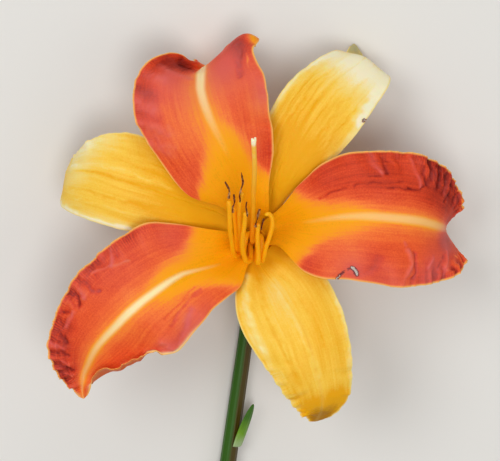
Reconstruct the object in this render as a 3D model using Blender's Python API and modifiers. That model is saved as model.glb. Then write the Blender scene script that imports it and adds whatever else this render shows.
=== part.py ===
"""A cut daylily bloom laid on a table.

The bloom faces up. Three red petals lie over three yellow sepals on a short
tube, with six stamens and a pistil in the throat. The cut stem runs away from
the tube along the table. Guide points are in millimetres in the bloom frame:
X to the right, Y away from the stem, Z out of the throat, with the origin in
the throat. The bloom frame leans on the table, and the table is Z = 0.
"""

import math

import bmesh
import bpy
import numpy as np
from mathutils import Matrix, Vector

MM = 0.001
MERGE = 0.01 * MM  # points closer than this are one

# The bloom on the table
LEAN = math.radians(12)  # how far the bloom's axis leans away from the stem

# The tube that the six blades grow from
TUBE_TILT = math.radians(25)  # the tube leans back towards the stem
TUBE_LENGTH = 18 * MM
MOUTH = Vector((0.5, -1.5, 0)) * MM  # centre of the tube's mouth
MOUTH_OUTER = 5.6 * MM
MOUTH_INNER = 3.3 * MM
WAIST_OUTER = 3.3 * MM
WAIST_INNER = 2.3 * MM
# The turning points of its wall between the mouth and the foot, as radius and depth
TUBE_OUTSIDE = [(4.6 * MM, 3 * MM), (3.7 * MM, 8 * MM), (WAIST_OUTER, 13 * MM)]
TUBE_INSIDE = [(WAIST_INNER, 11 * MM), (2.7 * MM, 7 * MM), (MOUTH_INNER, 1.5 * MM)]
TUBE_STEPS = 28
PETAL_RING = 3.95 * MM  # the inner ring, where the petals start
SEPAL_RING = 5.05 * MM  # the outer ring, where the sepals start
SEAT_GAP = 0.35 * MM  # clearance at the tube's foot
BLADE_LIFT = 0.42 * MM  # a blade's first row over the tube's mouth

# The blades
BLADE_THICKNESS = 0.7 * MM
BLADE_ROWS = 26
BLADE_COLUMNS = 12
PETAL_SPAN = 50  # degrees from a petal's midrib to its margin, on its ring
SEPAL_SPAN = 40
SHOULDER = 0.6  # where the cross-section's shoulder lies, from midrib to margin
PETAL_RISE = 4 * MM  # height of the throat's first station over the tube's mouth
SEPAL_RISE = 3.3 * MM
THROAT_FLARE = 1.35 * MM  # how much wider the throat is there than the ring
THROAT_TILT = math.radians(12)  # the throat turns from the tube's tilt to the bloom's face
TIP_WIDTH = 0.45  # width of a blade's blunt end, as a share of its last station
TIP_ROUND = 0.25  # how far the end's corners lie back from its tip

# The ruffles of a petal's margins, as shares of its half width and its length
RUFFLE_HEIGHT = 0.9 * MM
RUFFLE_INSIDE = 0.5  # where the waves begin, from the midrib out
RUFFLE_START = (0.22, 0.45)  # they grow over this stretch of the margin
RUFFLE_END = (0.94, 0.8)  # and fade out over this one
RIPPLE_SHARE = 0.4  # a second, shorter wave beside the first
RIPPLE_RATE = 2.3
CCW_PHASE = 0.6
CW_PHASE = 2.1

# The stamens, the pistil and the stem
FILAMENT_RADIUS = 0.56 * MM
FILAMENT_TIP_RADIUS = 0.46 * MM
FILAMENT_POINTS = 22
FILAMENT_RING = 2.05 * MM
FILAMENT_DEPTH = 5 * MM  # how deep in the tube a filament starts
FILAMENT_EXIT = 0.5 * MM  # and how deep it leaves the wall's line
ANTHER_RADIUS = 0.42 * MM
ANTHER_POINTS = 10
ANTHER_TAPER = 0.8  # how much of its section an anther loses at its two ends
OVARY_RADII = [1.2 * MM, 1.65 * MM, 1.8 * MM, 1.3 * MM]
OVARY_LENGTH = 6.5 * MM
STYLE_RADIUS = 0.68 * MM
STYLE_DEPTH = 6 * MM  # the style is straight from here down
STYLE_POINTS = 26
STIGMA_RADII = [0.71 * MM, 0.85 * MM, 0.68 * MM]
PEDICEL_RADIUS = 2.0 * MM
STEM_RADIUS = 2.6 * MM
STEM_POINTS = 34
STEM_NECK = 1.2 * MM  # the straight start behind the tube
STEM_GROWTH = (0.25, 0.9)  # share of the stem's length over which it thickens
STEM_FLARE = 0.14  # share over which its flared top narrows
STEM_ROUNDNESS = 4

# The bract, a small leaf beside the stem
BRACT_BASE = Vector((-4.15, -67, -31.1)) * MM
BRACT_LEAD = Vector((0.26, 1, 0.22)).normalized()  # from its base to its tip
BRACT_OUTWARD = Vector((0.78, -0.32, 0.62)).normalized()  # away from the stem
BRACT_LENGTH = 15 * MM
BRACT_HALF_WIDTH = 2.9 * MM
BRACT_STAND_OFF = 1.2 * MM  # how far its tip stands off the stem
BRACT_FOLD = 0.7 * MM  # how far its margins fold round the stem
BRACT_THICKNESS = 0.6 * MM
BRACT_ROWS = 10
BRACT_COLUMNS = 4

# Each blade: its ring, its azimuth there, its ruffles along a margin, and its
# guide points from the ring to the tip. ccw is the margin on the
# counterclockwise side of the midrib, and cw the other one. fold_ccw and
# fold_cw move the shoulder at a station, where the margin is rolled over.
BLADES = {
    "petal_upper_left": {
        "ring": PETAL_RING,
        "span": PETAL_SPAN,
        "rise": PETAL_RISE,
        "azimuth": 108,
        "crown": 1.2 * MM,
        "ruffles": 4.5,
        "ccw": [(-9, 8, 8), (-18, 11, 12), (-27, 21, 15), (-33, 31, 17), (-35, 40, 17),
                (-33, 48, 15), (-25, 53.5, 11), (-18, 52.3, 4), (-17.5, 51.8, -4)],
        "mid": [(-2.5, 8.5, 6), (-4.5, 15, 11), (-8, 22.5, 15), (-11.2, 30.5, 17.5), (-13.5, 37.5, 17),
                (-15.2, 44, 13.5), (-15.2, 48.7, 7), (-14, 49.8, 0.5), (-12.8, 50.8, -6)],
        "cw": [(5, 7.5, 8), (5, 14.5, 12), (6.3, 24, 16), (5.5, 32.5, 17), (5, 40.5, 16),
               (3, 47.5, 14), (0.4, 55, 12), (2, 57.7, 6), (-6, 57.5, -1)],
        "fold_ccw": {6: (-20.8, 50.4, 8)},
        "fold_cw": {7: (-3, 58.6, 8.5), 8: (-9.4, 54.3, -3.8)},
        "tip": (-12.3, 49, -11.4),
    },
    "petal_right": {
        "ring": PETAL_RING,
        "span": PETAL_SPAN,
        "rise": PETAL_RISE,
        "azimuth": 0,
        "crown": 1.2 * MM,
        "ruffles": 5.0,
        "ccw": [(8, 7.5, 8), (13, 13.5, 12), (20, 20.5, 15), (30, 23.8, 17), (41, 24.4, 17.5),
                (51.5, 22.6, 15), (59.5, 17.2, 10), (62.3, 9.5, 1), (59.5, 5.5, -9)],
        "mid": [(9, 2.5, 6), (15.5, 3, 11), (23, 4, 14.5), (32, 5, 17), (41, 4.5, 16.5),
                (49.5, 3.5, 13), (55.5, 2, 6), (58, 1.5, -3), (58, 1.2, -12)],
        "cw": [(7.5, -3.5, 8.5), (12, -8, 12), (18, -12.3, 15), (28.5, -13.6, 16.5), (39, -15.2, 16.5),
               (49, -15.2, 14), (58, -13.5, 9.5), (63, -8.7, 1.5), (59.5, -3, -9)],
        "tip": (56, 1, -21.7),
    },
    "petal_lower_left": {
        "ring": PETAL_RING,
        "span": PETAL_SPAN,
        "rise": PETAL_RISE,
        "azimuth": 230,
        "crown": 1.2 * MM,
        "ruffles": 5.0,
        "ccw": [(-1.5, -10, 9), (-3.5, -15.5, 12), (-9, -20, 14), (-15.5, -26.5, 15),
                (-21.5, -34.5, 15), (-29.5, -35.2, 16), (-37.8, -37.6, 15.5), (-46, -41.2, 11.6),
                (-47.8, -45.2, 6.5)],
        "mid": [(-6.5, -6, 6), (-12.5, -8.5, 11), (-19.5, -11.5, 15), (-27.5, -16.5, 17.5),
                (-35.5, -22, 18), (-42, -28.5, 16), (-47, -34, 13), (-50, -40, 8), (-50.6, -45.2, 4)],
        "cw": [(-9, 1, 9), (-16, 2, 12), (-27, 3.5, 15), (-38, 0, 17), (-48.5, -9, 17),
               (-56, -19.5, 15), (-60, -31, 13), (-57.5, -41.5, 9), (-53.8, -46.2, 4.3)],
        "fold_ccw": {5: (-31, -34, 14), 6: (-37.5, -38.8, 11), 7: (-44.5, -42, 8.3)},
        "tip": (-50.3, -49.2, 1.5),
    },
    "sepal_bottom": {
        "ring": SEPAL_RING,
        "span": SEPAL_SPAN,
        "rise": SEPAL_RISE,
        "azimuth": 290,
        "crown": 0.8 * MM,
        "ruffles": 0.0,
        "ccw": [(8, -4, 4.5), (16, -6.5, 9), (23, -14.5, 12), (27.5, -26, 13), (29.5, -37, 12), (29, -48, 7),
                (25, -53, 3)],
        "mid": [(3, -9.5, 5.5), (7.5, -15.5, 10), (12, -22.5, 14), (16, -30.5, 16), (18.5, -39, 15),
                (20.5, -47, 10.5), (20.5, -52.5, 5)],
        "cw": [(-2.2, -7.8, 5.3), (-4.6, -15.3, 9), (-4.2, -25, 12), (0.5, -34.5, 13), (7, -44, 12),
               (12, -51, 7), (15.5, -54.5, 3)],
        "tip": (19, -56, 0),
    },
    "sepal_left": {
        "ring": SEPAL_RING,
        "span": SEPAL_SPAN,
        "rise": SEPAL_RISE,
        "azimuth": 155,
        "crown": 0.8 * MM,
        "ruffles": 0.0,
        "ccw": [(-9, 1, 3.8), (-20, -0.5, 9), (-31, 0, 11), (-41.5, 2, 11), (-51, 5, 7), (-57.5, 8.5, -1),
                (-56.5, 13, -10)],
        "mid": [(-8.8, 5.8, 4.5), (-18.5, 9.5, 10), (-28.5, 13, 13), (-39, 16, 13.5), (-47.5, 18.5, 10),
                (-54, 18.5, 3), (-56, 18.2, -8.5)],
        "cw": [(-6.5, 10, 5), (-17, 20, 9), (-30, 28, 11), (-41, 30, 10), (-49, 27.5, 6), (-53.5, 23.5, -2),
               (-54.5, 22.5, -9.5)],
        "tip": (-53, 18, -18),
    },
    "sepal_upper_right": {
        "ring": SEPAL_RING,
        "span": SEPAL_SPAN,
        "rise": SEPAL_RISE,
        "azimuth": 54,
        "crown": 0.8 * MM,
        "ruffles": 0.0,
        "ccw": [(1, 9.5, 4), (1.5, 20.5, 9), (3.5, 32, 11), (9.5, 43, 11), (17, 50.5, 8), (25.3, 55.1, 1.5),
                (27.6, 53.8, -4.5)],
        "mid": [(5, 8.5, 4.5), (7, 16.5, 10), (11, 26, 13), (17, 36, 14), (24.5, 45, 11), (33.3, 52, 4),
                (31.6, 53.2, -4)],
        "cw": [(8, 6.5, 4), (13, 13, 9), (22.3, 20.5, 12), (29.8, 28.3, 13), (36.4, 37.5, 11), (41.3, 46.5, 4),
               (36.5, 49, -5)],
        "tip": (31.2, 57.7, -9),
    },
}

# Each stamen: where its filament starts on the tube's wall, the points that
# the filament passes, and the points along its anther.
STAMENS = [
    {"azimuth": 210,
     "filament": [(-2.1, -2.4, 4.5), (-3.3, -4.9, 7.5), (-4.9, -6.3, 10.5), (-5.6, -4.7, 15),
                  (-5.9, -2, 19), (-6.3, 0.7, 23), (-6.4, 3.4, 26), (-6.5, 7.3, 29.5),
                  (-6.6, 9.6, 31)],
     "anther": [(-6.7, 10.1, 32.1), (-6.5, 12.3, 33.5), (-7.1, 13.8, 34), (-7.7, 15, 34)]},
    {"azimuth": 150,
     "filament": [(-2.8, 0.3, 4.5), (-3.8, -1.9, 6.8), (-4.1, -4.6, 9.2), (-4.4, -2.6, 12.5),
                  (-4.6, 0.7, 16.5), (-4.8, 3.4, 19.5), (-5.1, 6, 22.5), (-5.3, 7.4, 23.8)],
     "anther": [(-5.6, 6.1, 24.6), (-5.7, 7.3, 25.3), (-5.2, 8.7, 25.9), (-5.1, 10.1, 26.4),
                (-5.3, 11.5, 26.6)]},
    {"azimuth": 95,
     "filament": [(-1.3, -0.2, 4.5), (-2.1, -2.7, 7.2), (-2.8, -5.6, 10.5), (-3.5, -2.6, 15),
                  (-3.6, 0.6, 19), (-3.7, 3.4, 22), (-3.7, 7.3, 26), (-3.3, 9.7, 28.5),
                  (-2.8, 11.9, 30.5)],
     "anther": [(-3.4, 9.1, 30.2), (-3.5, 11, 31.4), (-3.2, 12.6, 32), (-2.8, 13.9, 32.2), (-2.6, 15, 32.3),
                (-2.8, 16.2, 32.2), (-3.1, 17.6, 32)]},
    {"azimuth": 262,
     "filament": [(-0.5, -3.2, 4.5), (-0.3, -6.9, 9.5), (-1.5, -7.9, 12.5), (-2.4, -6.1, 15.5),
                  (-2.8, -3.4, 19), (-2.7, -0.7, 22.5), (-2.3, 2, 25), (-2, 4.7, 27.5),
                  (-1.9, 6.2, 28.6)],
     "anther": [(-1.3, 4.9, 29.3), (-1.5, 6.4, 30.2), (-1.7, 7.9, 30.6), (-1.5, 9.3, 30.6)]},
    {"azimuth": 315,
     "filament": [(1.6, -2.6, 4.5), (1.5, -5, 7.2), (1.4, -7.2, 10), (1.8, -8.3, 13.5), (1.8, -4.7, 17),
                  (1.6, -2, 19.5), (1.6, 0.7, 21.5), (1.8, 3.1, 23)],
     "anther": [(1, 1.9, 24.1), (1.2, 3.4, 24.9), (1.6, 4.7, 25.3), (1.8, 6, 25.5), (2.3, 7.3, 25.4)]},
    {"azimuth": 20,
     "filament": [(2.8, -1, 4.5), (2.9, -4.2, 7), (2.9, -7.1, 9.7), (3.1, -7.7, 12.5), (3.8, -4.7, 15.5),
                  (4.7, -2, 18), (5.5, 0.7, 20), (5.9, 3.4, 21.5), (5.4, 5.4, 22.5), (4.4, 5.8, 22.9),
                  (3.9, 5.2, 22.9)],
     "anther": [(3.5, 4.5, 22.7), (3.1, 3.5, 22.2), (2.8, 2.2, 21.5), (2.5, 1, 20.6)]},
]

# The points that the style passes, from the tube's mouth to the stigma.
STYLE_PATH = [(0.4, -1.3, 4.5), (0.2, -2.2, 9), (0, -1.5, 12.5), (0.1, 0.5, 16.5), (0.2, 3.4, 21),
              (0.3, 8.6, 29.5), (0.5, 13.8, 36.5), (0.7, 18.9, 42), (0.5, 23.9, 46.5),
              (0.5, 26.4, 48.2)]

# The points that the stem passes, from behind the tube to the cut end.
STEM_PATH = [(0.45, -10.6, -19), (0.2, -13.6, -21.1), (-0.4, -18.5, -22.6), (-1.6, -30, -25.2),
             (-4.4, -50, -29.6), (-7.6, -72, -34.3), (-11, -94, -39.2), (-13.4, -112, -43.15)]


def clear_scene():
    for obj in list(bpy.data.objects):
        bpy.data.objects.remove(obj, do_unlink=True)


def material(name, colour, roughness):
    made = bpy.data.materials.new(name)
    made.use_nodes = True
    shader = made.node_tree.nodes["Principled BSDF"]
    shader.inputs["Base Color"].default_value = (*colour, 1)
    shader.inputs["Roughness"].default_value = roughness
    return made


def spline_weights(knots, places):
    """Weights of the points at knots in a natural cubic spline read at places."""
    knots = np.asarray(knots, float)
    places = np.clip(places, knots[0], knots[-1])
    count = len(knots)
    step = np.diff(knots)
    bending = np.eye(count)
    slopes = np.zeros((count, count))
    for i in range(1, count - 1):
        bending[i, i - 1:i + 2] = step[i - 1], 2 * (step[i - 1] + step[i]), step[i]
        slopes[i, i - 1] = 6 / step[i - 1]
        slopes[i, i + 1] = 6 / step[i]
        slopes[i, i] = -slopes[i, i - 1] - slopes[i, i + 1]
    second = np.linalg.solve(bending, slopes)
    left = np.clip(np.searchsorted(knots, places, side="right") - 1, 0, count - 2)
    width = step[left]
    b = (places - knots[left]) / width
    a = 1 - b
    points = np.eye(count)
    curved = (a**3 - a)[:, None] * second[left] + (b**3 - b)[:, None] * second[left + 1]
    return a[:, None] * points[left] + b[:, None] * points[left + 1] + curved * (width**2 / 6)[:, None]


def smooth_path(points, count):
    """count places along a smooth curve through points, as an array."""
    knots = np.linspace(0, 1, len(points))
    return spline_weights(knots, np.linspace(0, 1, count)) @ np.asarray(points, float)


def smoothstep(low, high, value):
    """0 before low, 1 past high and a smooth rise between them."""
    x = np.clip((value - low) / (high - low), 0, 1)
    return x * x * (3 - 2 * x)


def in_metres(points):
    return [tuple(Vector(point) * MM) for point in points]


def tube_axis():
    """The tube's direction, out of its mouth."""
    return Vector((0, math.sin(TUBE_TILT), math.cos(TUBE_TILT)))


def ring_point(azimuth, radius, rise=0.0, tilt=TUBE_TILT):
    """A place on a ring round the tube's axis, with the ring's centre that far above the mouth."""
    around = Vector((math.cos(math.radians(azimuth)), math.sin(math.radians(azimuth)), 0))
    around.rotate(Matrix.Rotation(-tilt, 3, "X"))
    return MOUTH + tube_axis() * rise + around * radius


def control_net(blade):
    """The blade's guide points: a row for each station, with five columns from ccw margin to cw."""
    net = []
    rings = ((blade["ring"], BLADE_LIFT, TUBE_TILT),
             (blade["ring"] + THROAT_FLARE, blade["rise"], THROAT_TILT))
    for radius, rise, tilt in rings:
        row = []
        for part in (1, SHOULDER, 0, -SHOULDER, -1):
            row.append(ring_point(blade["azimuth"] + part * blade["span"], radius, rise, tilt))
        net.append(row)
    last = len(blade["mid"])
    for station, points in enumerate(zip(blade["ccw"], blade["mid"], blade["cw"])):
        ccw, mid, cw = (Vector(p) * MM for p in points)
        crown = Vector((0, 0, blade["crown"] * math.sin(math.pi * (station + 1) / (last + 1))))
        shoulders = {"fold_ccw": mid.lerp(ccw, SHOULDER) + crown,
                     "fold_cw": mid.lerp(cw, SHOULDER) + crown}
        for side in shoulders:
            if station in blade.get(side, {}):
                shoulders[side] = Vector(blade[side][station]) * MM
        net.append([ccw, shoulders["fold_ccw"], mid, shoulders["fold_cw"], cw])
    tip = Vector(blade["tip"]) * MM
    ccw, mid, cw = (Vector(blade[line][-1]) * MM for line in ("ccw", "mid", "cw"))
    ends = [tip + (margin - mid) * TIP_WIDTH + (mid - tip) * TIP_ROUND for margin in (ccw, cw)]
    net.append([ends[0], tip.lerp(ends[0], SHOULDER), tip, tip.lerp(ends[1], SHOULDER), ends[1]])
    return np.array([[tuple(p) for p in row] for row in net])


def on_blade(net, along, across):
    """Places on the blade's smooth surface: along runs 0 to 1 from ring to tip, across -1 to 1."""
    rows = spline_weights(np.linspace(0, 1, len(net)), along)
    columns = spline_weights([-1, -SHOULDER, 0, SHOULDER, 1], across)
    return np.einsum("ni,nk,ikc->nc", rows, columns, net)


def facing(net, along, across):
    """Unit normals of the blade's upper face."""
    reach = 0.01
    ahead = np.clip(along + reach, 0, 1)
    behind = np.clip(along - reach, 0, 1)
    right = np.clip(across + reach, -1, 1)
    left = np.clip(across - reach, -1, 1)
    up = on_blade(net, ahead, across) - on_blade(net, behind, across)
    side = on_blade(net, along, right) - on_blade(net, along, left)
    normal = np.cross(side, up)
    return normal / np.linalg.norm(normal, axis=1)[:, None]


def ruffled(blade, along, across):
    """How far the margins wave off the smooth surface."""
    near_margin = smoothstep(RUFFLE_INSIDE, 1, np.abs(across))
    reach = smoothstep(*RUFFLE_START, along) * smoothstep(*RUFFLE_END, along)
    turn = 2 * math.pi * blade["ruffles"] * along
    phase = np.where(across < 0, CCW_PHASE, CW_PHASE)
    wave = np.sin(turn + phase) + RIPPLE_SHARE * np.sin(RIPPLE_RATE * turn + 2 * phase)
    return RUFFLE_HEIGHT * near_margin * reach * wave * (blade["ruffles"] > 0)


def thicken(obj, thickness):
    """Closes the sheet's seams, splits it into triangles and gives it its thickness."""
    sheet = bmesh.new()
    sheet.from_mesh(obj.data)
    bmesh.ops.remove_doubles(sheet, verts=sheet.verts, dist=MERGE)
    bmesh.ops.triangulate(sheet, faces=sheet.faces)
    sheet.to_mesh(obj.data)
    sheet.free()
    wall = obj.modifiers.new("thickness", "SOLIDIFY")
    wall.thickness = thickness
    wall.offset = 0
    wall.use_even_offset = False


def make_blade(name, blade, finish, parent):
    """A petal or sepal: a flat grid carried onto its guides and given its thickness."""
    bpy.ops.mesh.primitive_grid_add(x_subdivisions=BLADE_COLUMNS, y_subdivisions=BLADE_ROWS, size=2)
    obj = bpy.context.object
    obj.name = name
    mesh = obj.data
    flat = np.array([v.co for v in mesh.vertices])
    along = (flat[:, 1] + 1) / 2
    across = flat[:, 0]
    net = control_net(blade)
    places = on_blade(net, along, across)
    places += facing(net, along, across) * ruffled(blade, along, across)[:, None]
    mesh.vertices.foreach_set("co", places.astype(np.float32).ravel())
    thicken(obj, BLADE_THICKNESS)
    dress(obj, finish, parent)


def dress(obj, finish, parent):
    obj.data.materials.append(finish)
    obj.parent = parent
    if obj.type == "MESH":
        obj.data.shade_smooth()


def make_tube(finish, parent):
    """The tube as a turned profile: the outer side from the mouth down, then the inner side up."""
    foot = [(WAIST_OUTER, TUBE_LENGTH), (WAIST_INNER, TUBE_LENGTH)]
    profile = [(MOUTH_OUTER, 0)] + TUBE_OUTSIDE + foot + TUBE_INSIDE + [(MOUTH_INNER, 0)]
    mesh = bpy.data.meshes.new("perianth_tube")
    edges = [(i, (i + 1) % len(profile)) for i in range(len(profile))]
    mesh.from_pydata([(radius, 0, -depth) for radius, depth in profile], edges, [])
    obj = bpy.data.objects.new("perianth_tube", mesh)
    bpy.context.collection.objects.link(obj)
    screw = obj.modifiers.new("turn", "SCREW")
    screw.steps = TUBE_STEPS
    screw.render_steps = TUBE_STEPS
    screw.use_merge_vertices = True
    screw.merge_threshold = MERGE
    obj.location = MOUTH
    obj.rotation_euler = (-TUBE_TILT, 0, 0)
    dress(obj, finish, parent)


def make_strand(name, places, radii, finish, parent, roundness=1):
    """A filament, style or stem: a filled tube along places, as thick as radii says at each."""
    curve = bpy.data.curves.new(name, "CURVE")
    curve.dimensions = "3D"
    curve.bevel_depth = 1
    curve.bevel_resolution = roundness
    curve.use_fill_caps = True
    curve.resolution_u = 1
    line = curve.splines.new("POLY")
    line.points.add(len(places) - 1)
    for point, place, radius in zip(line.points, places, radii):
        point.co = (*place, 1)
        point.radius = radius
    obj = bpy.data.objects.new(name, curve)
    bpy.context.collection.objects.link(obj)
    dress(obj, finish, parent)


def make_stamen(number, stamen, golden, dark, parent):
    """A filament that rises from the tube's wall, and the slim anther at its tip."""
    start = ring_point(stamen["azimuth"], FILAMENT_RING, -FILAMENT_DEPTH)
    leave = ring_point(stamen["azimuth"], FILAMENT_RING, -FILAMENT_EXIT)
    points = [tuple(start), tuple(leave)] + in_metres(stamen["filament"])
    places = smooth_path(points, FILAMENT_POINTS)
    radii = np.linspace(FILAMENT_RADIUS, FILAMENT_TIP_RADIUS, FILAMENT_POINTS)
    make_strand(f"filament_{number}", places, radii, golden, parent)

    spine = smooth_path(in_metres(stamen["anther"]), ANTHER_POINTS)
    share = np.linspace(-1, 1, ANTHER_POINTS)
    girth = ANTHER_RADIUS * np.sqrt(1 - ANTHER_TAPER * share**4)
    make_strand(f"anther_{number}", spine, girth, dark, parent)


def make_pistil(finish, parent):
    """The ovary in the tube's foot, the style through the tube and out, and the stigma at its end."""
    foot = MOUTH - tube_axis() * (TUBE_LENGTH - SEAT_GAP)
    top = foot + tube_axis() * OVARY_LENGTH
    count = len(OVARY_RADII)
    ovary = [tuple(foot.lerp(top, i / count)) for i in range(count)]
    straight = MOUTH - tube_axis() * STYLE_DEPTH
    points = [tuple(top), tuple(straight), tuple(MOUTH)] + in_metres(STYLE_PATH)
    style = [tuple(place) for place in smooth_path(points, STYLE_POINTS)]
    shaft = [STYLE_RADIUS] * (STYLE_POINTS - len(STIGMA_RADII))
    make_strand("pistil", ovary + style, OVARY_RADII + shaft + STIGMA_RADII, finish, parent)


def make_stem(finish, parent):
    """The pedicel and stem in one piece, with a flared top that closes the foot of the tube."""
    top = MOUTH - tube_axis() * (TUBE_LENGTH + SEAT_GAP)
    neck = top - tube_axis() * STEM_NECK
    places = smooth_path([tuple(top), tuple(neck)] + in_metres(STEM_PATH), STEM_POINTS)
    share = np.linspace(0, 1, STEM_POINTS)
    slender = PEDICEL_RADIUS + (STEM_RADIUS - PEDICEL_RADIUS) * smoothstep(*STEM_GROWTH, share)
    flare = (WAIST_OUTER - PEDICEL_RADIUS) * smoothstep(STEM_FLARE, 0, share)
    make_strand("stem", places, slender + flare, finish, parent, STEM_ROUNDNESS)


def make_bract(finish, parent):
    """The small leaf beside the stem: a folded blade that points back towards the bloom."""
    bpy.ops.mesh.primitive_grid_add(x_subdivisions=BRACT_COLUMNS, y_subdivisions=BRACT_ROWS, size=2)
    obj = bpy.context.object
    obj.name = "bract"
    lift = BRACT_OUTWARD.cross(BRACT_LEAD).normalized()
    for vertex in obj.data.vertices:
        share = (vertex.co.y + 1) / 2
        side = vertex.co.x
        leaf_outline = (1 - share) ** 0.6 * (0.75 + 0.9 * share)
        stand_off = BRACT_STAND_OFF * share**1.5 - BRACT_FOLD * side * side * (1 - share)
        vertex.co = (BRACT_BASE + BRACT_LEAD * BRACT_LENGTH * share
                     + lift * side * BRACT_HALF_WIDTH * leaf_outline + BRACT_OUTWARD * stand_off)
    thicken(obj, BRACT_THICKNESS)
    dress(obj, finish, parent)


def centre_on_table(frame):
    """Moves the bloom frame so that the part's box is centred on the origin and stands on Z = 0."""
    bpy.context.view_layer.update()
    graph = bpy.context.evaluated_depsgraph_get()
    low = np.full(3, np.inf)
    high = np.full(3, -np.inf)
    for obj in frame.children:
        shown = obj.evaluated_get(graph)
        mesh = shown.to_mesh()
        for vertex in mesh.vertices:
            place = np.array(shown.matrix_world @ vertex.co)
            low = np.minimum(low, place)
            high = np.maximum(high, place)
        shown.to_mesh_clear()
    frame.location -= Vector(((low[0] + high[0]) / 2, (low[1] + high[1]) / 2, low[2]))


def main():
    clear_scene()
    flower = bpy.data.collections.new("daylily_flower")
    bpy.context.scene.collection.children.link(flower)
    layer = bpy.context.view_layer.layer_collection.children[flower.name]
    bpy.context.view_layer.active_layer_collection = layer

    frame = bpy.data.objects.new("bloom_frame", None)
    flower.objects.link(frame)
    frame.rotation_euler = (-LEAN, 0, 0)

    red = material("petal_red", (0.72, 0.13, 0.05), 0.45)
    yellow = material("sepal_yellow", (0.85, 0.52, 0.06), 0.45)
    golden = material("filament_gold", (0.88, 0.34, 0.01), 0.4)
    cream = material("style_cream", (0.83, 0.5, 0.1), 0.4)
    brown = material("anther_brown", (0.06, 0.02, 0.015), 0.7)
    green = material("stem_green", (0.05, 0.11, 0.015), 0.5)
    leaf = material("bract_green", (0.07, 0.2, 0.02), 0.5)

    make_tube(yellow, frame)
    for name, blade in BLADES.items():
        make_blade(name, blade, red if name.startswith("petal") else yellow, frame)
    for number, stamen in enumerate(STAMENS, 1):
        make_stamen(number, stamen, golden, brown, frame)
    make_pistil(cream, frame)
    make_stem(green, frame)
    make_bract(leaf, frame)
    centre_on_table(frame)


main()
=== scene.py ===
"""A cut daylily bloom laid on a pale table, with the camera looking down on it.

Three ruffled red petals lie over three yellow sepals on a short tube, with six
stamens and a pistil in the throat. Guide points are in millimetres in the
bloom frame: X to the right, Y away from the stem, Z out of the throat, with
the origin in the throat. Each blade is measured by along, 0 at the tube and 1
at its tip, and by across, -1 at its counterclockwise margin, 0 at its midrib
and 1 at its clockwise margin.
"""

import math

import bmesh
import bpy
import numpy as np
from mathutils import Matrix, Vector


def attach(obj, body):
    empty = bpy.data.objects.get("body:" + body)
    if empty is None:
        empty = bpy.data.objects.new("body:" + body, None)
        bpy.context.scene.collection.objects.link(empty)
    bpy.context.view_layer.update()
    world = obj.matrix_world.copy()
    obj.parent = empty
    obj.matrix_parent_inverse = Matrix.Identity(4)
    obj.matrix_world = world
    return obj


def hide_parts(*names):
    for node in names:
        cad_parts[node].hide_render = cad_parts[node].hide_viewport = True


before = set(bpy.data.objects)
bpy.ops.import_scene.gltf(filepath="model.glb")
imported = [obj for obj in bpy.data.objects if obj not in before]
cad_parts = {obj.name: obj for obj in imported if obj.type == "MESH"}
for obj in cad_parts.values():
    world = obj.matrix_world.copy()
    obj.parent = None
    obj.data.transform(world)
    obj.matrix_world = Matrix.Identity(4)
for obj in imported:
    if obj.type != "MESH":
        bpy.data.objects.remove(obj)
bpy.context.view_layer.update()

bl_info = {
    "name": "Daylily Bloom",
    "version": (1, 0, 0),
    "blender": (4, 5, 0),
    "location": "3D View > Sidebar > Daylily",
    "description": "Builds a cut daylily bloom: petals, sepals, stamens, pistil, tube and stem",
    "category": "Object",
}

MM = 0.001
BODY = "root"

# The bloom on the table
LEAN = math.radians(12)  # how far the bloom's axis leans away from the stem
BLOOM_PLACE = Vector((-1.759, 29.576, 21.548)) * MM  # the throat over the table
BLOOM_TO_TABLE = Matrix.Translation(BLOOM_PLACE) @ Matrix.Rotation(-LEAN, 4, "X")

# The camera, in the bloom frame: it looks straight into the throat
CAMERA_PLACE = Vector((-0.6, 1.05, 650)) * MM
CAMERA_WIDTH = 150 * MM  # what the view spans at the throat
SENSOR_WIDTH = 36  # millimetres

# The tube that the six blades grow from
TUBE_TILT = math.radians(25)  # the tube leans back towards the stem
TUBE_LENGTH = 18 * MM
MOUTH = Vector((0.5, -1.5, 0)) * MM  # centre of the tube's mouth
MOUTH_OUTER = 5.6 * MM
MOUTH_INNER = 3.3 * MM
WAIST_OUTER = 3.3 * MM
WAIST_INNER = 2.3 * MM
PETAL_RING = 3.95 * MM  # the inner ring, where the petals start
SEPAL_RING = 5.05 * MM  # the outer ring, where the sepals start
BLADE_LIFT = 0.42 * MM  # a blade's first row over the tube's mouth

# The blades' construction
PETAL_SPAN = 50  # degrees from a petal's midrib to its margin, on its ring
SEPAL_SPAN = 40
SHOULDER = 0.6  # where the cross-section's shoulder lies, from midrib to margin
PETAL_RISE = 4 * MM
SEPAL_RISE = 3.3 * MM
THROAT_FLARE = 1.35 * MM
THROAT_TILT = math.radians(12)
TIP_WIDTH = 0.45
TIP_ROUND = 0.25

# The large ruffles of a petal's margins
RUFFLE_INSIDE = 0.5  # how far across they begin
RUFFLE_START = (0.22, 0.45)  # shares of the blade's length, as the next pair
RUFFLE_END = (0.94, 0.8)
RIPPLE_SHARE = 0.4
RIPPLE_RATE = 2.3
CCW_PHASE = 0.6
CW_PHASE = 2.1

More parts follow.
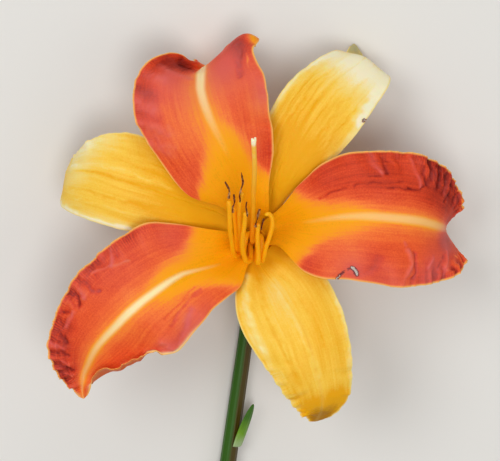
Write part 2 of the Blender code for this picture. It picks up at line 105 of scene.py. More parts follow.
# A blade's fine forms
ROUGH_STEPS = 60  # places on the lines that a blade is measured by
LINE_POINTS = 14  # places on a fold's line
RIM_STEPS = np.array([0, 0.12, 0.4, 0.75])  # close rows and columns, as shares of the rim's radius
MARGIN_CROWDING = 0.5
TIP_CROWDING = 0.45
UNDER_STEP = 3  # the outer face has one column to so many of the inner one's
CRIMP_FADE = 0.05  # share of the blade over which a crimped stretch of margin begins or ends
RELIEF_START = (0.12, 0.32)  # shares of the blade's length, as for the next pairs
RELIEF_END = (1.0, 0.92)
SWELL_LENGTH = 9 * MM
SWELL_WIDTH = 7 * MM
SWELL_AT_MIDRIB = 0.35
CALM = 0.12  # the waves that an uncrimped margin has
WAVE_LENGTH = 1.9 * MM
WAVE_WIDTH = 6 * MM
WAVE_HEIGHT = 0.75 * MM
WAVE_REACH = 3.6 * MM
PLEAT_WIDTH = 4 * MM
PLEAT_REACH = 2.4 * MM
PLEAT_WANDER = 1.7 * MM
PLEAT_DRIFT = 0.55
PLEAT_UNEVEN = 0.5
CREPE_LENGTH = 0.75 * MM
CREPE_REACH = 3 * MM
SCALLOP = 0.11 * MM
SCALLOP_WAVE = 0.1 * MM
SCALLOP_REACH = 1 * MM
FOLD_WANDER = 0.55 * MM
FOLD_STEP = 2.2 * MM
FOLD_UNEVEN = 0.45
FOLD_BREAK = 1.3 * MM
FAN_STEP = 3 * MM
FAN_DRIFT = 2.2
FAN_FADE = 0.14  # share of the half width over which a fan fades inwards
FAN_END = 0.15
# Painted highlight: how far a fan's crests lighten the tone.
FAN_LIGHT = -0.35
TEAR_RAGGED = 0.15 * MM
TEAR_STEP = 0.5 * MM
TEAR_EDGE = 0.35 * MM
FLESH_WIDTH = 5 * MM
RIB_START = (0.12, 0.3)
RIB_END = (1.0, 0.85)
RIDGE_HEIGHT = 0.12 * MM
GROOVE_WIDTH = 0.22 * MM
KEEL_WIDTH = 1.1 * MM

# The blades' tones
TONE_JITTER = 0.6 * MM
TONE_EDGE = 2.3 * MM  # half the width over which gold turns to red
TONE_EDGE_MIDRIB = 3.2 * MM  # what a midrib adds to it
TONE_MIDRIB = 6 * MM
STREAK_WIDTH = 0.9 * MM
STREAK_LENGTH = 7 * MM
GLOW = 0.4
GLOW_WIDTHS = [(0.3, 6.5 * MM), (0.5, 5 * MM), (0.8, 3 * MM)]
BAND_EDGE = 0.7 * MM
FLANK_GLOW = 0.3  # the yellow flanks of a petal's band
FLANK_WIDTH = 0.9 * MM
RIM_START = (0.2, 0.36)  # the rim is plain in the throat
PALE_RIM_WIDTH = 0.9 * MM
# Darker red along a crimped margin: partly the petal's own deeper red, partly painted shade of its crimps.
RIM_DARK = 0.3
RIM_DARK_WIDTH = 3.4 * MM
RIM_CLEAR = (0.25 * MM, 1.0 * MM)
# Painted shade in a crimped margin's valleys, and painted highlight on its crests down to VALLEY_LIGHT.
VALLEY_PLEAT = 0.75
VALLEY_WAVE = 0.5
VALLEY_LIGHT = -0.25
SEPAL_VALLEY_SHADE = 0.5
# Painted highlight: a pinkish sheen on the wave crests of a crimped petal margin.
CREST_SHEEN = 0.5
VALLEY_REACH = 3 * MM
# Painted shade deep in the throat: next to the tube the tone drops towards olive by this much.
THROAT_SHADE = 0.22
THROAT_SHADE_END = (0.22, 0.1)
SEPAL_FADE = (0.1, 0.6)
SEPAL_SIDES = 0.14
SEPAL_STREAKS = 0.08
MIDRIB_LINE = 0.14
MIDRIB_LINE_WIDTH = 0.4 * MM
PATTERN_HALF_WIDTH = 18  # millimetres of vein pattern from the midrib to a margin

# How many rows and columns a sheet or strand has
PETAL_GRID = (450, 150)
SEPAL_GRID = (240, 120)
TUBE_ROWS = 40
TUBE_AROUND = 96
ROUND_STEPS = 5  # rows in the half round that ends a strand
STRAND_ROWS = 90
FINE_ROWS = 4 * STRAND_ROWS  # of the path that a strand's places are read from
STRAND_AROUND = 20
ANTHER_AROUND = 16
PISTIL_ROWS = 200
PISTIL_FINE_ROWS = 8 * STRAND_ROWS
PISTIL_AROUND = 36
STEM_ROWS = 240
STEM_AROUND = 72
BRACT_ROWS = 60
BRACT_COLUMNS = 30

# The seeds of the noise in each form
SWELL_SEED = 1
WAVE_SEED = 2
PLEAT_SEED = 3
CREPE_SEED = 4
STREAK_SEED = 5
FOLD_SEED = 6
UNEVEN_SEED = 7
TEAR_SEED = 8
FAN_SEED = 8
WANDER_SEEDS = (9, 10)
FILAMENT_SEED = 11
BEAD_SEED = 12
SHRINK_SEED = 13
FUZZ_SEED = 14
STEM_SEED = 15
POLLEN_SEED = 40  # an anther's number is added to it

# What the tube, the stamens and the pistil measure
ORDER = 3  # a daylily grows in threes: the stigma has three lobes, and the tube six seams
SEAM_SHARPNESS = 6
TUBE_OUTSIDE = [(4.6 * MM, 3 * MM), (3.7 * MM, 8 * MM), (WAIST_OUTER, 13 * MM)]  # radius, depth
TUBE_INSIDE = [(WAIST_INNER, 11 * MM), (2.7 * MM, 7 * MM), (MOUTH_INNER, 1.5 * MM)]
TUBE_SEAM = 0.25 * MM
SEAT_GAP = 0.35 * MM
FILAMENT_RING = 2.05 * MM
FILAMENT_DEPTH = 5 * MM
FILAMENT_EXIT = 0.5 * MM
FILAMENT_UNEVEN = 0.06
FILAMENT_HILLS = 30  # along a filament
ANTHER_TWIST = 4.0  # radians over an anther's length
ANTHER_LOBE = 0.3
ANTHER_BEADS = 0.5
ANTHER_SWELL = 0.4
BEAD_LENGTH = 0.45 * MM
BEAD_ROUND = 1.5  # hills of noise to an anther's radius
SWELL_BEADS = 4  # how many beads long a swell is
BEAD_POLLEN = 0.4  # the pollen tone on a bead
SWELL_POLLEN = 0.35
POLLEN_RANGE = (-0.3, 0.6)
POLLEN_CLUMPS = 34
POLLEN_FREE = 3  # rows at either end of an anther without a clump
POLLEN_SIZES = (0.6, 1.3)  # of a clump, as shares of its usual size
POLLEN_TONE = 0.35
OVARY_LENGTH = 6.5 * MM
STYLE_DEPTH = 6 * MM
OVARY_PROFILE = [(0, 1.2 * MM), (2.0 * MM, 1.65 * MM), (4.0 * MM, 1.8 * MM), (6.0 * MM, 1.3 * MM),
                 (OVARY_LENGTH, 0.68 * MM)]  # run along the ovary, radius
STIGMA_END = 0.45 * MM
STIGMA_LENGTH = 1.6 * MM
STIGMA_WIDER = (STIGMA_LENGTH, STIGMA_LENGTH / 3)  # from the style's end, as the next three
STIGMA_LOBED = (1.5 * STIGMA_LENGTH, STIGMA_LENGTH / 2)
STIGMA_PALER = (2.5 * MM, 0.8 * MM)
STYLE_YELLOWER = (24 * MM, 4 * MM)
STIGMA_LOBE = 0.2
STIGMA_TURN = 2.2  # radians
STIGMA_ROWS = 8  # the last rows, which tell the way that its lobes point
FUZZ_HEIGHT = 0.1  # as a share of the stigma's radius
FUZZ_ROUND = 6  # hills of noise to a radian
FUZZ_LENGTH = 0.18 * MM
LOBE_UNEVEN = 0.45
LOBE_PHASE = 0.8
LOBE_ROOT = 0.7
STYLE_TONE = 0.7

# What the stem measures
STEM_NECK = 1.2 * MM
STEM_GROWTH = (0.25, 0.9)  # shares of its length, as the next two
STEM_FLARE = 0.14
STEM_RIB_START = (0.02, 0.15)
STEM_RIBS = 11
STEM_BROWN_SIDE = (-0.25, 0.45)  # how far to the right its skin faces where it turns brown
STEM_UNEVEN = 0.09 * MM
STEM_HILLS = 14  # along the stem
STEM_HILLS_ROUND = 1.2  # to its radius
STEM_HILLS_START = 5
CUT_STEPS = (0.97, 0.9, 0.75, 0.5, 0.25, 0)  # rings of the cut end, as shares of its radius
CUT_DISH = 0.35 * MM
PITH_EDGE = (0.1, 0.35)  # how far in from the cut's edge, as shares of its radius

# The bract, a small leaf beside the stem
BRACT_BASE = Vector((-4.15, -67, -31.1)) * MM
BRACT_LEAD = Vector((0.26, 1, 0.22)).normalized()
BRACT_OUTWARD = Vector((0.78, -0.32, 0.62)).normalized()
BRACT_LENGTH = 15 * MM
BRACT_HALF_WIDTH = 2.9 * MM
BRACT_FOOT = 0.75  # the width at its foot, as a share of the half width
BRACT_WIDENING = 0.9
BRACT_TAPER = 0.6
BRACT_STAND_OFF = 1.2 * MM
BRACT_BEND = 1.5
BRACT_FOLD = 0.7 * MM
BRACT_THICKNESS = 0.6 * MM
BRACT_KEEL = 0.12 * MM
BRACT_KEEL_WIDTH = 0.15
SIDE_ROUND = 4  # the power by which its thickness ends at its sides
END_ROUND = 8

# What the finishes' patterns measure, and how strong they are
MIX_SHARE, MIX_FIRST, MIX_SECOND, MIX_RESULT = 0, 6, 7, 2  # a Mix node's sockets for colours
BLOTCH_SIZE = 5 * MM
MOTTLE_SIZE = 2.2 * MM
CELL_SIZE = 0.45 * MM
VEIN_SCALE = (1.25, 0.035, 1)  # hills to a millimetre, across and along
STREAK_SCALE = (3.4, 0.16, 1)
LINE_RATE = 0.12  # hills to a millimetre along a strand
CELL_HEIGHT = 0.02 * MM
VEIN_HEIGHT = 0.03 * MM
STREAK_HEIGHT = 0.02 * MM
VEIN_STRENGTH = 0.34
STREAK_STRENGTH = 0.16
CELL_STRENGTH = 0.42
BLOTCH_STRENGTH = 0.22
SEPAL_GRAIN = 0.6  # how strong these four are on a sepal, as a share
LINE_STRENGTH = 0.22
RIM_BAND = 0.85  # millimetres
RIM_SHARE = 0.95
UNDER_SHARE = 0.85
GLOSS_SPREAD = 0.06
GLOSS_FROM = 0.3  # the blotches' values between which the gloss changes
GLOSS_TO = 0.7
GRAIN_SIZE = 0.3 * MM
GRAIN_HEIGHT = 0.05 * MM
GRAIN_STRENGTH = 0.6
ROLLER_SIZE = 2 * MM
ROLLER_HEIGHT = 0.02 * MM

# The stage: each light's name, watts, diameter and place, all in metres
TABLE_SIZE = 4
WORLD_STRENGTH = 0.36
LIGHTS = [("key_light", 3.5, 0.6, (-0.5, 0.4, 0.9)),
          ("front_light", 3.8, 0.5, (0.1, -0.05, 1.1)),
          ("fill_light", 1.2, 0.9, (0.8, -0.3, 0.8)),
          ("back_light", 1.2, 0.6, (0.1, 0.9, 0.5))]

# What the petals have in common, and what the sepals have. span and rise say how
# a blade leaves its ring, and crown how far its shoulders stand over its midrib.
PETAL = {"ring": PETAL_RING, "span": PETAL_SPAN, "rise": PETAL_RISE, "crown": 1.2 * MM}
SEPAL = {"ring": SEPAL_RING, "span": SEPAL_SPAN, "rise": SEPAL_RISE, "crown": 0.8 * MM, "ruffles": 0,
         "midrib": [(0, 0), (1, 0)], "band": [(0, 0.6), (1, 0.6)], "cream": [(0, 0)]}

# Each blade has guide points from the ring to the tip. They are the part's, but
# for the bottom sepal's first ccw point, which lies 1 mm further out to close a
# gap in the throat. fold_ccw and fold_cw give a shoulder at a station.
# midrib is a line of (along, across), and band and cream give along it the pale
# band's width in millimetres and how pale it is. gold says for places across how
# far along the throat's gold reaches, and redness is the tone past it. folds are
# lines of (along, across) with a width and a height in millimetres and the tone
# and pinkish sheen that they add, where a height below 0 is a crease. A fold's
# tone is mostly painted shade in a crease and painted highlight on a ridge, with
# some of the blade's own pale or dark streaks, and its sheen is painted highlight.
# crimps are stretches of margin: side, first and last along, and strength, and so
# are pale_rims. blushes are places of (along, across) with a radius in
# millimetres, tone and pinkish sheen: many are painted shade in hollows and
# painted sheen on crests, the rest the blade's own deeper or lighter tints, and on
# a sepal a blush's sheen column gives the dry nub at its tip. fans are stretches
# of radial pleats: side, first and last along, how many pleats, how far across
# they begin, their height in millimetres and their tone, painted shade in their
# valleys. tears are lines of (along, across) with a radius in millimetres.
BLADES = {
    "petal_upper_left": {
        **PETAL,
        "azimuth": 108,
        "ruffles": 4.5,
        "ccw": [(-9, 8, 8), (-18, 11, 12), (-27, 21, 15), (-33, 31, 17), (-35, 40, 17),
                (-33, 48, 15), (-25, 53.5, 11), (-18, 52.3, 4), (-17.5, 51.8, -4)],
        "mid": [(-2.5, 8.5, 6), (-4.5, 15, 11), (-8, 22.5, 15), (-11.2, 30.5, 17.5), (-13.5, 37.5, 17),
                (-15.2, 44, 13.5), (-15.2, 48.7, 7), (-14, 49.8, 0.5), (-12.8, 50.8, -6)],
        "cw": [(5, 7.5, 8), (5, 14.5, 12), (6.3, 24, 16), (5.5, 32.5, 17), (5, 40.5, 16),
               (3, 47.5, 14), (0.4, 55, 12), (2, 57.7, 6), (-6, 57.5, -1)],
        "fold_ccw": {6: (-20.8, 50.4, 8)},
        "fold_cw": {7: (-3, 58.6, 8.5), 8: (-9.4, 54.3, -3.8)},
        "tip": (-12.3, 49, -11.4),
        "midrib": [(0, 0.27), (0.267, 0.2), (0.33, 0.1), (0.39, 0.06), (0.44, 0.025), (0.5, -0.005),
                   (0.56, -0.02), (0.61, -0.015), (0.65, 0.01), (0.7, 0.03), (1, 0)],
        "band": [(0.2, 0.1), (0.3, 0.5), (0.38, 1.1), (0.45, 1.9), (0.52, 2.3), (0.66, 2.5), (0.8, 2.4),
                 (0.95, 1)],
        "gold": [(-1, 0.25), (-0.81, 0.272), (-0.52, 0.314), (-0.33, 0.356), (-0.15, 0.4), (-0.06, 0.43),
                 (0.05, 0.45), (0.14, 0.455), (0.23, 0.445), (0.31, 0.43), (0.44, 0.395), (0.54, 0.35),
                 (0.73, 0.319), (1, 0.3)],
        "cream": [(0.36, 0), (0.42, 0.1), (0.48, 0.3), (0.55, 0.55), (0.6, 0.7), (0.66, 0.85)],
        "redness": 0.86,
        # Many of these tones are painted shade in creases and in the hollow under the top lobe, and painted
        # highlight and sheen on ridges.
        "folds": [
            ([(0.765, 0.6), (0.74, 0.69), (0.706, 0.73), (0.64, 0.66)], 0.8, -0.6, 0.55, 0.15),
            ([(0.706, 0.88), (0.678, 0.85), (0.645, 0.81)], 0.34, 0.3, -0.65, 0),
            ([(0.536, -1), (0.51, -0.72)], 1.8, 0.3, -0.1, 0.5),
            ([(0.472, -1), (0.44, -0.65)], 2, 0.35, -0.1, 0.45),
            ([(0.42, -1), (0.39, -0.75)], 1.8, 0.3, -0.08, 0.4),
            ([(0.575, -0.95), (0.55, -0.7)], 2.2, -0.35, 0.25, 0.1),
            ([(0.503, -0.9), (0.48, -0.7)], 1.8, -0.35, 0.22, 0.1),
            ([(0.625, -1), (0.62, -0.6)], 2, 0.35, -0.05, 0.45),
            ([(0.735, -0.62), (0.745, -0.3), (0.72, -0.08)], 2, -0.7, 0.35, 0),
            ([(0.665, -0.75), (0.655, -0.5), (0.655, -0.2)], 1.1, 0.22, 0, 0.4),
            ([(0.43, 0.86), (0.36, 0.93)], 1.5, -0.3, 0.08, 0),
        ],
        "crimps": [(-1, 0.4, 0.74, 0.3), (1, 0.3, 0.8, 0.1)],
        # Many blushes paint shade in hollows and sheen on crests; the others are the petal's own tints.
        "blushes": [
            ((0.569, -0.75), 3, 0.1, 0), ((0.6, -0.35), 9, -0.1, 0.35),
            ((0.63, 0.45), 9, -0.05, 0.25), ((0.553, -0.86), 3, 0.28, 0.15),
            ((0.486, -0.31), 8, -0.08, 0.05), ((0.556, -0.22), 6, -0.07, 0.05),
            ((0.43, -0.4), 6, -0.08, 0), ((0.485, -0.86), 3, 0.22, 0.1),
            ((0.42, -0.8), 3.5, 0.12, 0.1), ((0.71, 0.45), 7, 0.14, 0.45),
            ((0.77, 0.58), 3.5, 0.7, 0.1), ((0.795, 0.86), 2, -0.6, 0),
            ((0.56, 0.97), 3.5, -0.1, 0.6), ((0.62, 0.9), 4, 0, 0.3), ((0.706, 0.75), 2.5, 0.2, 0),
            ((0.36, 0.8), 4, 0.2, 0), ((0.33, -0.75), 6, 0.1, 0), ((0.69, -0.75), 4, 0.35, 0.1),
            ((0.71, -0.45), 3.5, 0.35, 0.1), ((0.76, -0.3), 3, 0.25, 0),
            ((0.72, 0.6), 5, 0.12, 0.15), ((0.63, 0.3), 7, -0.1, 0.15),
            ((0.795, 0.9), 2.6, -0.35, 0), ((0.675, -0.75), 4.5, 0.3, -0.3),
            ((0.705, -0.45), 4, 0.32, -0.3), ((0.622, -0.85), 3.5, 0.28, -0.1),
            ((0.635, -0.5), 3.5, 0.1, 0.35), ((0.57, -0.6), 5, 0.08, 0.15),
            ((0.52, 0.86), 3.5, -0.25, 0.3),
        ],
    },
    "petal_right": {
        **PETAL,
        "azimuth": 0,
        "ruffles": 5.0,
        "ccw": [(8, 7.5, 8), (13, 13.5, 12), (20, 20.5, 15), (30, 23.8, 17), (41, 24.4, 17.5),
                (51.5, 22.6, 15), (59.5, 17.2, 10), (62.3, 9.5, 1), (59.5, 5.5, -9)],
        "mid": [(9, 2.5, 6), (15.5, 3, 11), (23, 4, 14.5), (32, 5, 17), (41, 4.5, 16.5),
                (49.5, 3.5, 13), (55.5, 2, 6), (58, 1.5, -3), (58, 1.2, -12)],
        "cw": [(7.5, -3.5, 8.5), (12, -8, 12), (18, -12.3, 15), (28.5, -13.6, 16.5), (39, -15.2, 16.5),
               (49, -15.2, 14), (58, -13.5, 9.5), (63, -8.7, 1.5), (59.5, -3, -9)],
        "tip": (56, 1, -21.7),
        "midrib": [(0, -0.12), (0.25, -0.05), (0.335, -0.045), (0.394, -0.03), (0.44, -0.015),
                   (0.481, -0.01), (0.653, -0.015), (0.8, -0.015), (1, 0)],
        "band": [(0.24, 0.1), (0.32, 0.6), (0.4, 1.5), (0.48, 2.1), (0.6, 2.3), (0.8, 2), (0.95, 1)],
        "gold": [(-1, 0.26), (-0.69, 0.281), (-0.4, 0.322), (-0.23, 0.381), (-0.15, 0.436), (-0.08, 0.48),
                 (0, 0.5), (0.08, 0.46), (0.17, 0.41), (0.27, 0.367), (0.42, 0.342), (0.67, 0.319),
                 (0.88, 0.306), (1, 0.3)],
        "cream": [(0.26, 0), (0.34, 0.15), (0.4, 0.33), (0.48, 0.38), (0.6, 0.42), (0.8, 0.25)],
        "redness": 0.88,
        # Many of these tones are painted shade in creases and painted highlight and sheen on ridges.
        "folds": [
            ([(0.486, -1), (0.494, -0.9), (0.506, -0.77), (0.519, -0.67)], 0.75, 0.6, -0.15, 0.6),
            ([(0.507, -1), (0.518, -0.85), (0.532, -0.66)], 0.4, -0.48, 0.42, 0),
            ([(0.336, -0.44), (0.375, -0.46), (0.419, -0.48)], 0.3, -0.2, 0.32, 0),
            ([(0.44, -0.49), (0.5, -0.51), (0.572, -0.54)], 0.32, -0.2, 0.26, 0),
            ([(0.53, -0.44), (0.6, -0.46)], 0.3, -0.2, 0.3, 0),
            ([(0.486, -0.6), (0.517, -0.62)], 0.3, -0.2, 0.35, 0),
            ([(0.586, -0.48), (0.611, -0.46), (0.633, -0.52)], 0.35, -0.3, 0.38, 0),
            ([(0.594, -0.88), (0.606, -0.75), (0.619, -0.62), (0.622, -0.52)], 0.5, 0.45, -0.12, 0.6),
            ([(0.613, -0.88), (0.626, -0.7), (0.638, -0.58)], 0.4, -0.4, 0.44, 0),
            ([(0.66, -0.9), (0.665, -0.72), (0.68, -0.6)], 0.5, -0.4, 0.4, 0),
            ([(0.7, -0.8), (0.71, -0.6)], 0.45, 0.4, -0.2, 0.3),
            ([(0.725, -0.9), (0.73, -0.7), (0.72, -0.5)], 0.5, -0.45, 0.4, 0),
            ([(0.6, 0.45), (0.611, 0.62), (0.6, 0.81), (0.581, 1)], 0.75, 0.6, -0.12, 0.65),
            ([(0.622, 0.5), (0.628, 0.75), (0.612, 0.95)], 0.55, -0.5, 0.45, 0.25),
            ([(0.725, 0.55), (0.7, 0.75), (0.692, 0.98)], 0.5, -0.54, 0.5, 0.2),
            ([(0.745, 0.5), (0.72, 0.83), (0.71, 0.98)], 0.6, 0.4, -0.15, 0.55),
            ([(0.68, 0.55), (0.665, 0.75)], 0.5, 0.35, -0.1, 0.5),
            ([(0.522, 0.6), (0.506, 0.81), (0.478, 0.9)], 1, -0.3, 0.15, 0.13),
            ([(0.589, 0.33), (0.592, 0.36)], 0.56, 0.18, 0, 0.65),
            ([(0.69, -0.97), (0.73, -0.96), (0.77, -0.94), (0.8, -0.87), (0.825, -0.8)], 0.45, 0, -0.75, 0),
            ([(0.776, 0.62), (0.79, 0.78), (0.8, 0.92)], 0.4, 0, -0.6, 0),
        ],
        "fans": [(-1, 0.6, 0.9, 11, 0.62, 0.45, 0.4), (1, 0.64, 0.9, 9, 0.74, 0.4, 0.45),
                 (-1, 0.46, 0.66, 5, 0.8, 0.3, 0.15)],
        "crimps": [(-1, 0.48, 0.6, 0.35), (-1, 0.6, 0.9, 1.0), (1, 0.5, 0.7, 0.25), (1, 0.7, 0.9, 0.7)],
        # Many blushes paint shade in hollows and sheen on crests; the others are the petal's own tints.
        "blushes": [
            ((0.36, -0.75), 6, 0.22, 0), ((0.46, -0.72), 9, 0.26, 0), ((0.56, -0.6), 9, 0.24, 0),
            ((0.67, -0.72), 7, 0.35, 0), ((0.72, -0.85), 6, 0.3, 0), ((0.765, -0.55), 5, 0.45, 0),
            ((0.77, 0.3), 4, 0.25, 0.2), ((0.69, 0.85), 5, 0.2, 0.3), ((0.45, 0.78), 6, -0.05, 0.35),
            ((0.55, 0.97), 6, 0.05, 0.4), ((0.33, 0.85), 4, 0.22, 0.1), ((0.42, 0.3), 6, -0.15, 0),
            ((0.66, 0.9), 4, 0, 0.3), ((0.745, 0.25), 3.5, 0.35, 0.35), ((0.81, -0.2), 4, 0.5, 0.2),
            ((0.75, 0.45), 3, 0.3, 0.35), ((0.79, 0.1), 3.5, 0.45, 0.25), ((0.69, -0.4), 5, 0.15, 0),
            ((0.69, 0.6), 5, 0.1, 0.25), ((0.46, 0.84), 2.2, 0.3, 0.5), ((0.511, 0.71), 3.5, 0.25, 0),
            ((0.669, 0.9), 4, 0.15, 0),
        ],
        "tears": [([(0.456, 0.81), (0.463, 0.85), (0.469, 0.9)], 0.75),
                  ([(0.456, 0.8), (0.445, 0.84), (0.434, 0.9), (0.424, 1)], 0.36)],
    },
    "petal_lower_left": {
        **PETAL,
        "azimuth": 230,
        "ruffles": 5.0,
        "ccw": [(-1.5, -10, 9), (-3.5, -15.5, 12), (-9, -20, 14), (-15.5, -26.5, 15),
                (-21.5, -34.5, 15), (-29.5, -35.2, 16), (-37.8, -37.6, 15.5), (-46, -41.2, 11.6),
                (-47.8, -45.2, 6.5)],
        "mid": [(-6.5, -6, 6), (-12.5, -8.5, 11), (-19.5, -11.5, 15), (-27.5, -16.5, 17.5),
                (-35.5, -22, 18), (-42, -28.5, 16), (-47, -34, 13), (-50, -40, 8), (-50.6, -45.2, 4)],
        "cw": [(-9, 1, 9), (-16, 2, 12), (-27, 3.5, 15), (-38, 0, 17), (-48.5, -9, 17),
               (-56, -19.5, 15), (-60, -31, 13), (-57.5, -41.5, 9), (-53.8, -46.2, 4.3)],
        "fold_ccw": {5: (-31, -34, 14), 6: (-37.5, -38.8, 11), 7: (-44.5, -42, 8.3)},
        "tip": (-50.3, -49.2, 1.5),
        "midrib": [(0, -0.19), (0.25, -0.17), (0.322, -0.06), (0.372, 0.015), (0.41, 0.025), (0.45, 0.015),
                   (0.489, 0), (0.54, -0.022), (0.6, -0.025), (0.65, -0.018), (0.7, -0.025),
                   (0.75, -0.045), (0.79, -0.065), (0.861, -0.04), (1, 0)],
        "band": [(0.2, 0.1), (0.32, 0.5), (0.38, 1.1), (0.43, 1.7), (0.55, 2.1), (0.64, 1.8), (0.73, 1.5),
                 (0.83, 1), (0.92, 0.7), (1, 0.3)],
        "gold": [(-1, 0.265), (-0.73, 0.303), (-0.48, 0.336), (-0.31, 0.372), (-0.19, 0.4), (-0.1, 0.44),
                 (0.05, 0.46), (0.23, 0.411), (0.27, 0.375), (0.46, 0.328), (0.67, 0.311), (0.96, 0.286),
                 (1, 0.28)],
        "cream": [(0.24, 0), (0.32, 0.3), (0.4, 0.85), (0.45, 1), (0.54, 1), (0.64, 0.72), (0.7, 0.55),
                  (0.78, 0.38), (0.9, 0.3)],
        "redness": 0.88,
        # Many of these tones are painted shade in creases and painted highlight and sheen on ridges.
        "folds": [
            ([(0.547, 0.83), (0.517, 0.73), (0.475, 0.62)], 0.4, 0.5, -0.45, 0.6),
            ([(0.55, 0.88), (0.567, 0.79), (0.575, 0.62), (0.564, 0.56)], 0.6, -0.45, 0.45, 0.4),
            ([(0.489, 1), (0.497, 0.81), (0.51, 0.72)], 0.6, 0.5, -0.05, 0.7),
            ([(0.478, 0.95), (0.486, 0.78)], 0.45, -0.5, 0.5, 0.2),
            ([(0.51, 0.98), (0.515, 0.84)], 0.45, -0.45, 0.45, 0.2),
            ([(0.597, 1), (0.592, 0.79), (0.6, 0.68)], 0.6, 0.6, -0.1, 0.75),
            ([(0.614, 0.98), (0.61, 0.78), (0.62, 0.68)], 0.5, -0.5, 0.5, 0),
            ([(0.642, 0.69), (0.669, 0.71), (0.694, 0.75), (0.697, 0.96)], 0.55, 0.6, -0.1, 0.7),
            ([(0.66, 0.98), (0.655, 0.8)], 0.5, -0.5, 0.4, 0.1),
            ([(0.712, 0.95), (0.708, 0.76), (0.722, 0.6)], 0.55, -0.6, 0.5, 0),
            ([(0.728, 0.98), (0.735, 0.8), (0.745, 0.62)], 0.5, 0.5, -0.15, 0.45),
            ([(0.75, 0.95), (0.752, 0.73), (0.765, 0.5)], 0.5, -0.6, 0.45, 0),
            ([(0.77, 0.95), (0.772, 0.75), (0.79, 0.5)], 0.45, 0.5, -0.25, 0.45),
            ([(0.79, 0.9), (0.795, 0.67), (0.82, 0.35)], 0.5, -0.6, 0.45, 0),
            ([(0.815, 0.85), (0.82, 0.6), (0.84, 0.35)], 0.45, 0.5, -0.3, 0.35),
            ([(0.375, -0.5), (0.439, -0.54), (0.5, -0.65)], 0.5, -0.2, 0.22, 0.15),
            ([(0.375, -0.38), (0.442, -0.42), (0.5, -0.5)], 0.45, -0.15, 0.2, 0),
            ([(0.56, -1), (0.565, -0.72)], 1.6, 0.6, -0.1, 0.35),
            ([(0.6, -1), (0.6, -0.75)], 1.1, -0.5, 0.2, 0),
            ([(0.645, -1), (0.64, -0.7)], 1.3, 0.7, -0.1, 0.25),
            ([(0.685, -1), (0.68, -0.72)], 1.1, -0.5, 0.25, 0),
            ([(0.73, -1), (0.725, -0.68)], 1.3, 0.7, -0.1, 0.15),
            ([(0.44, -0.7), (0.49, -0.85), (0.52, -0.9)], 1, -0.3, 0.08, 0.65),
        ],
        "fans": [(1, 0.5, 0.9, 15, 0.74, 0.28, 0.2)],
        "crimps": [(1, 0.4, 0.66, 0.8), (1, 0.66, 0.93, 1.0), (-1, 0.45, 0.8, 0.2)],
        "pale_rims": [(-1, 0.48, 0.92, 1), (1, 0.95, 1.1, 0.5)],
        # Many blushes paint shade in hollows and sheen on crests; the others are the petal's own tints.
        "blushes": [
            ((0.731, 0.6), 2.6, 0.35, 0), ((0.68, 0.62), 2.4, 0.22, 0), ((0.456, -0.54), 6, -0.12, 0),
            ((0.7, 0.88), 5, 0.1, 0.1), ((0.48, 0.75), 9, 0.06, 0.22), ((0.772, 0.75), 6, 0.16, 0.08),
            ((0.831, 0.5), 5, 0.22, 0.05),
            ((0.47, -0.92), 4.5, 0, 0.55), ((0.42, -0.9), 4, 0.05, 0.3), ((0.55, -0.88), 3.5, 0.1, 0.5),
            ((0.36, 0.85), 6, 0.04, 0.25), ((0.34, 0.55), 5, 0.12, 0.15), ((0.6, 0.9), 5, 0.06, 0.15),
            ((0.97, -0.1), 4, 0.3, 0), ((0.55, 0.85), 6, 0.1, 0.1),
            ((0.42, -0.25), 7, -0.16, 0), ((0.62, -0.4), 6, -0.05, 0), ((0.96, 0), 4, -0.1, 0),
            ((0.66, 0.25), 8, 0.08, 0),
        ],
    },
    "sepal_bottom": {
        **SEPAL,
        "azimuth": 290,
        "ccw": [(8.3, -3, 4.2), (16, -6.5, 9), (23, -14.5, 12), (27.5, -26, 13), (29.5, -37, 12),
                (29, -48, 7), (25, -53, 3)],
        "mid": [(3, -9.5, 5.5), (7.5, -15.5, 10), (12, -22.5, 14), (16, -30.5, 16), (18.5, -39, 15),
                (20.5, -47, 10.5), (20.5, -52.5, 5)],
        "cw": [(-2.2, -7.8, 5.3), (-4.6, -15.3, 9), (-4.2, -25, 12), (0.5, -34.5, 13), (7, -44, 12),
               (12, -51, 7), (15.5, -54.5, 3)],
        "tip": (19, -56, 0),
        "cream": [(0.35, 0), (0.5, 0.12)],
        "redness": 0.6,
        "folds": [
            # A painted highlight stripe along the cw margin.
            ([(0.3, 0.78), (0.45, 0.8), (0.56, 0.82)], 1.3, 0.15, 0.34, 0),
            ([(0.3, 0.98), (0.5, 0.98), (0.65, 0.99)], 0.59, 0, -0.13, 0),
            ([(0.3, 0.02), (0.5, 0.06), (0.7, -0.03), (0.88, -0.22)], 0.94, 0.07, 0.17, 0),
            ([(0.3, -0.25), (0.45, -0.3), (0.6, -0.33)], 0.59, -0.1, -0.1, 0),
            ([(0.3, 0.42), (0.5, 0.5), (0.7, 0.5)], 1.1, -0.1, -0.12, 0),
            ([(0.42, -0.98), (0.6, -0.98), (0.75, -0.98)], 1.1, 0, 0.26, 0),
        ],
        "fans": [(1, 0.7, 1, 8, 0.74, 0.25, 0.15)],
        "crimps": [(1, 0.6, 0.97, 0.9), (-1, 0.5, 0.97, 0.35)],
        "blushes": [
            # Painted shade where the tip turns down and away, over the sepal's own brownish tip.
            ((0.96, -0.3), 5, -0.8, 0), ((0.89, -0.75), 5.5, -0.7, 0), ((0.97, 0.15), 3.5, -0.5, 0),
            ((0.79, -0.62), 4.5, -0.35, 0),
            ((0.32, -0.1), 8, 0.35, 0), ((0.4, 0.3), 8, 0.12, 0),
            ((0.86, 0.3), 5, -0.35, 0), ((0.6, -0.6), 9, -0.12, 0), ((0.75, 0.7), 6, -0.1, 0),
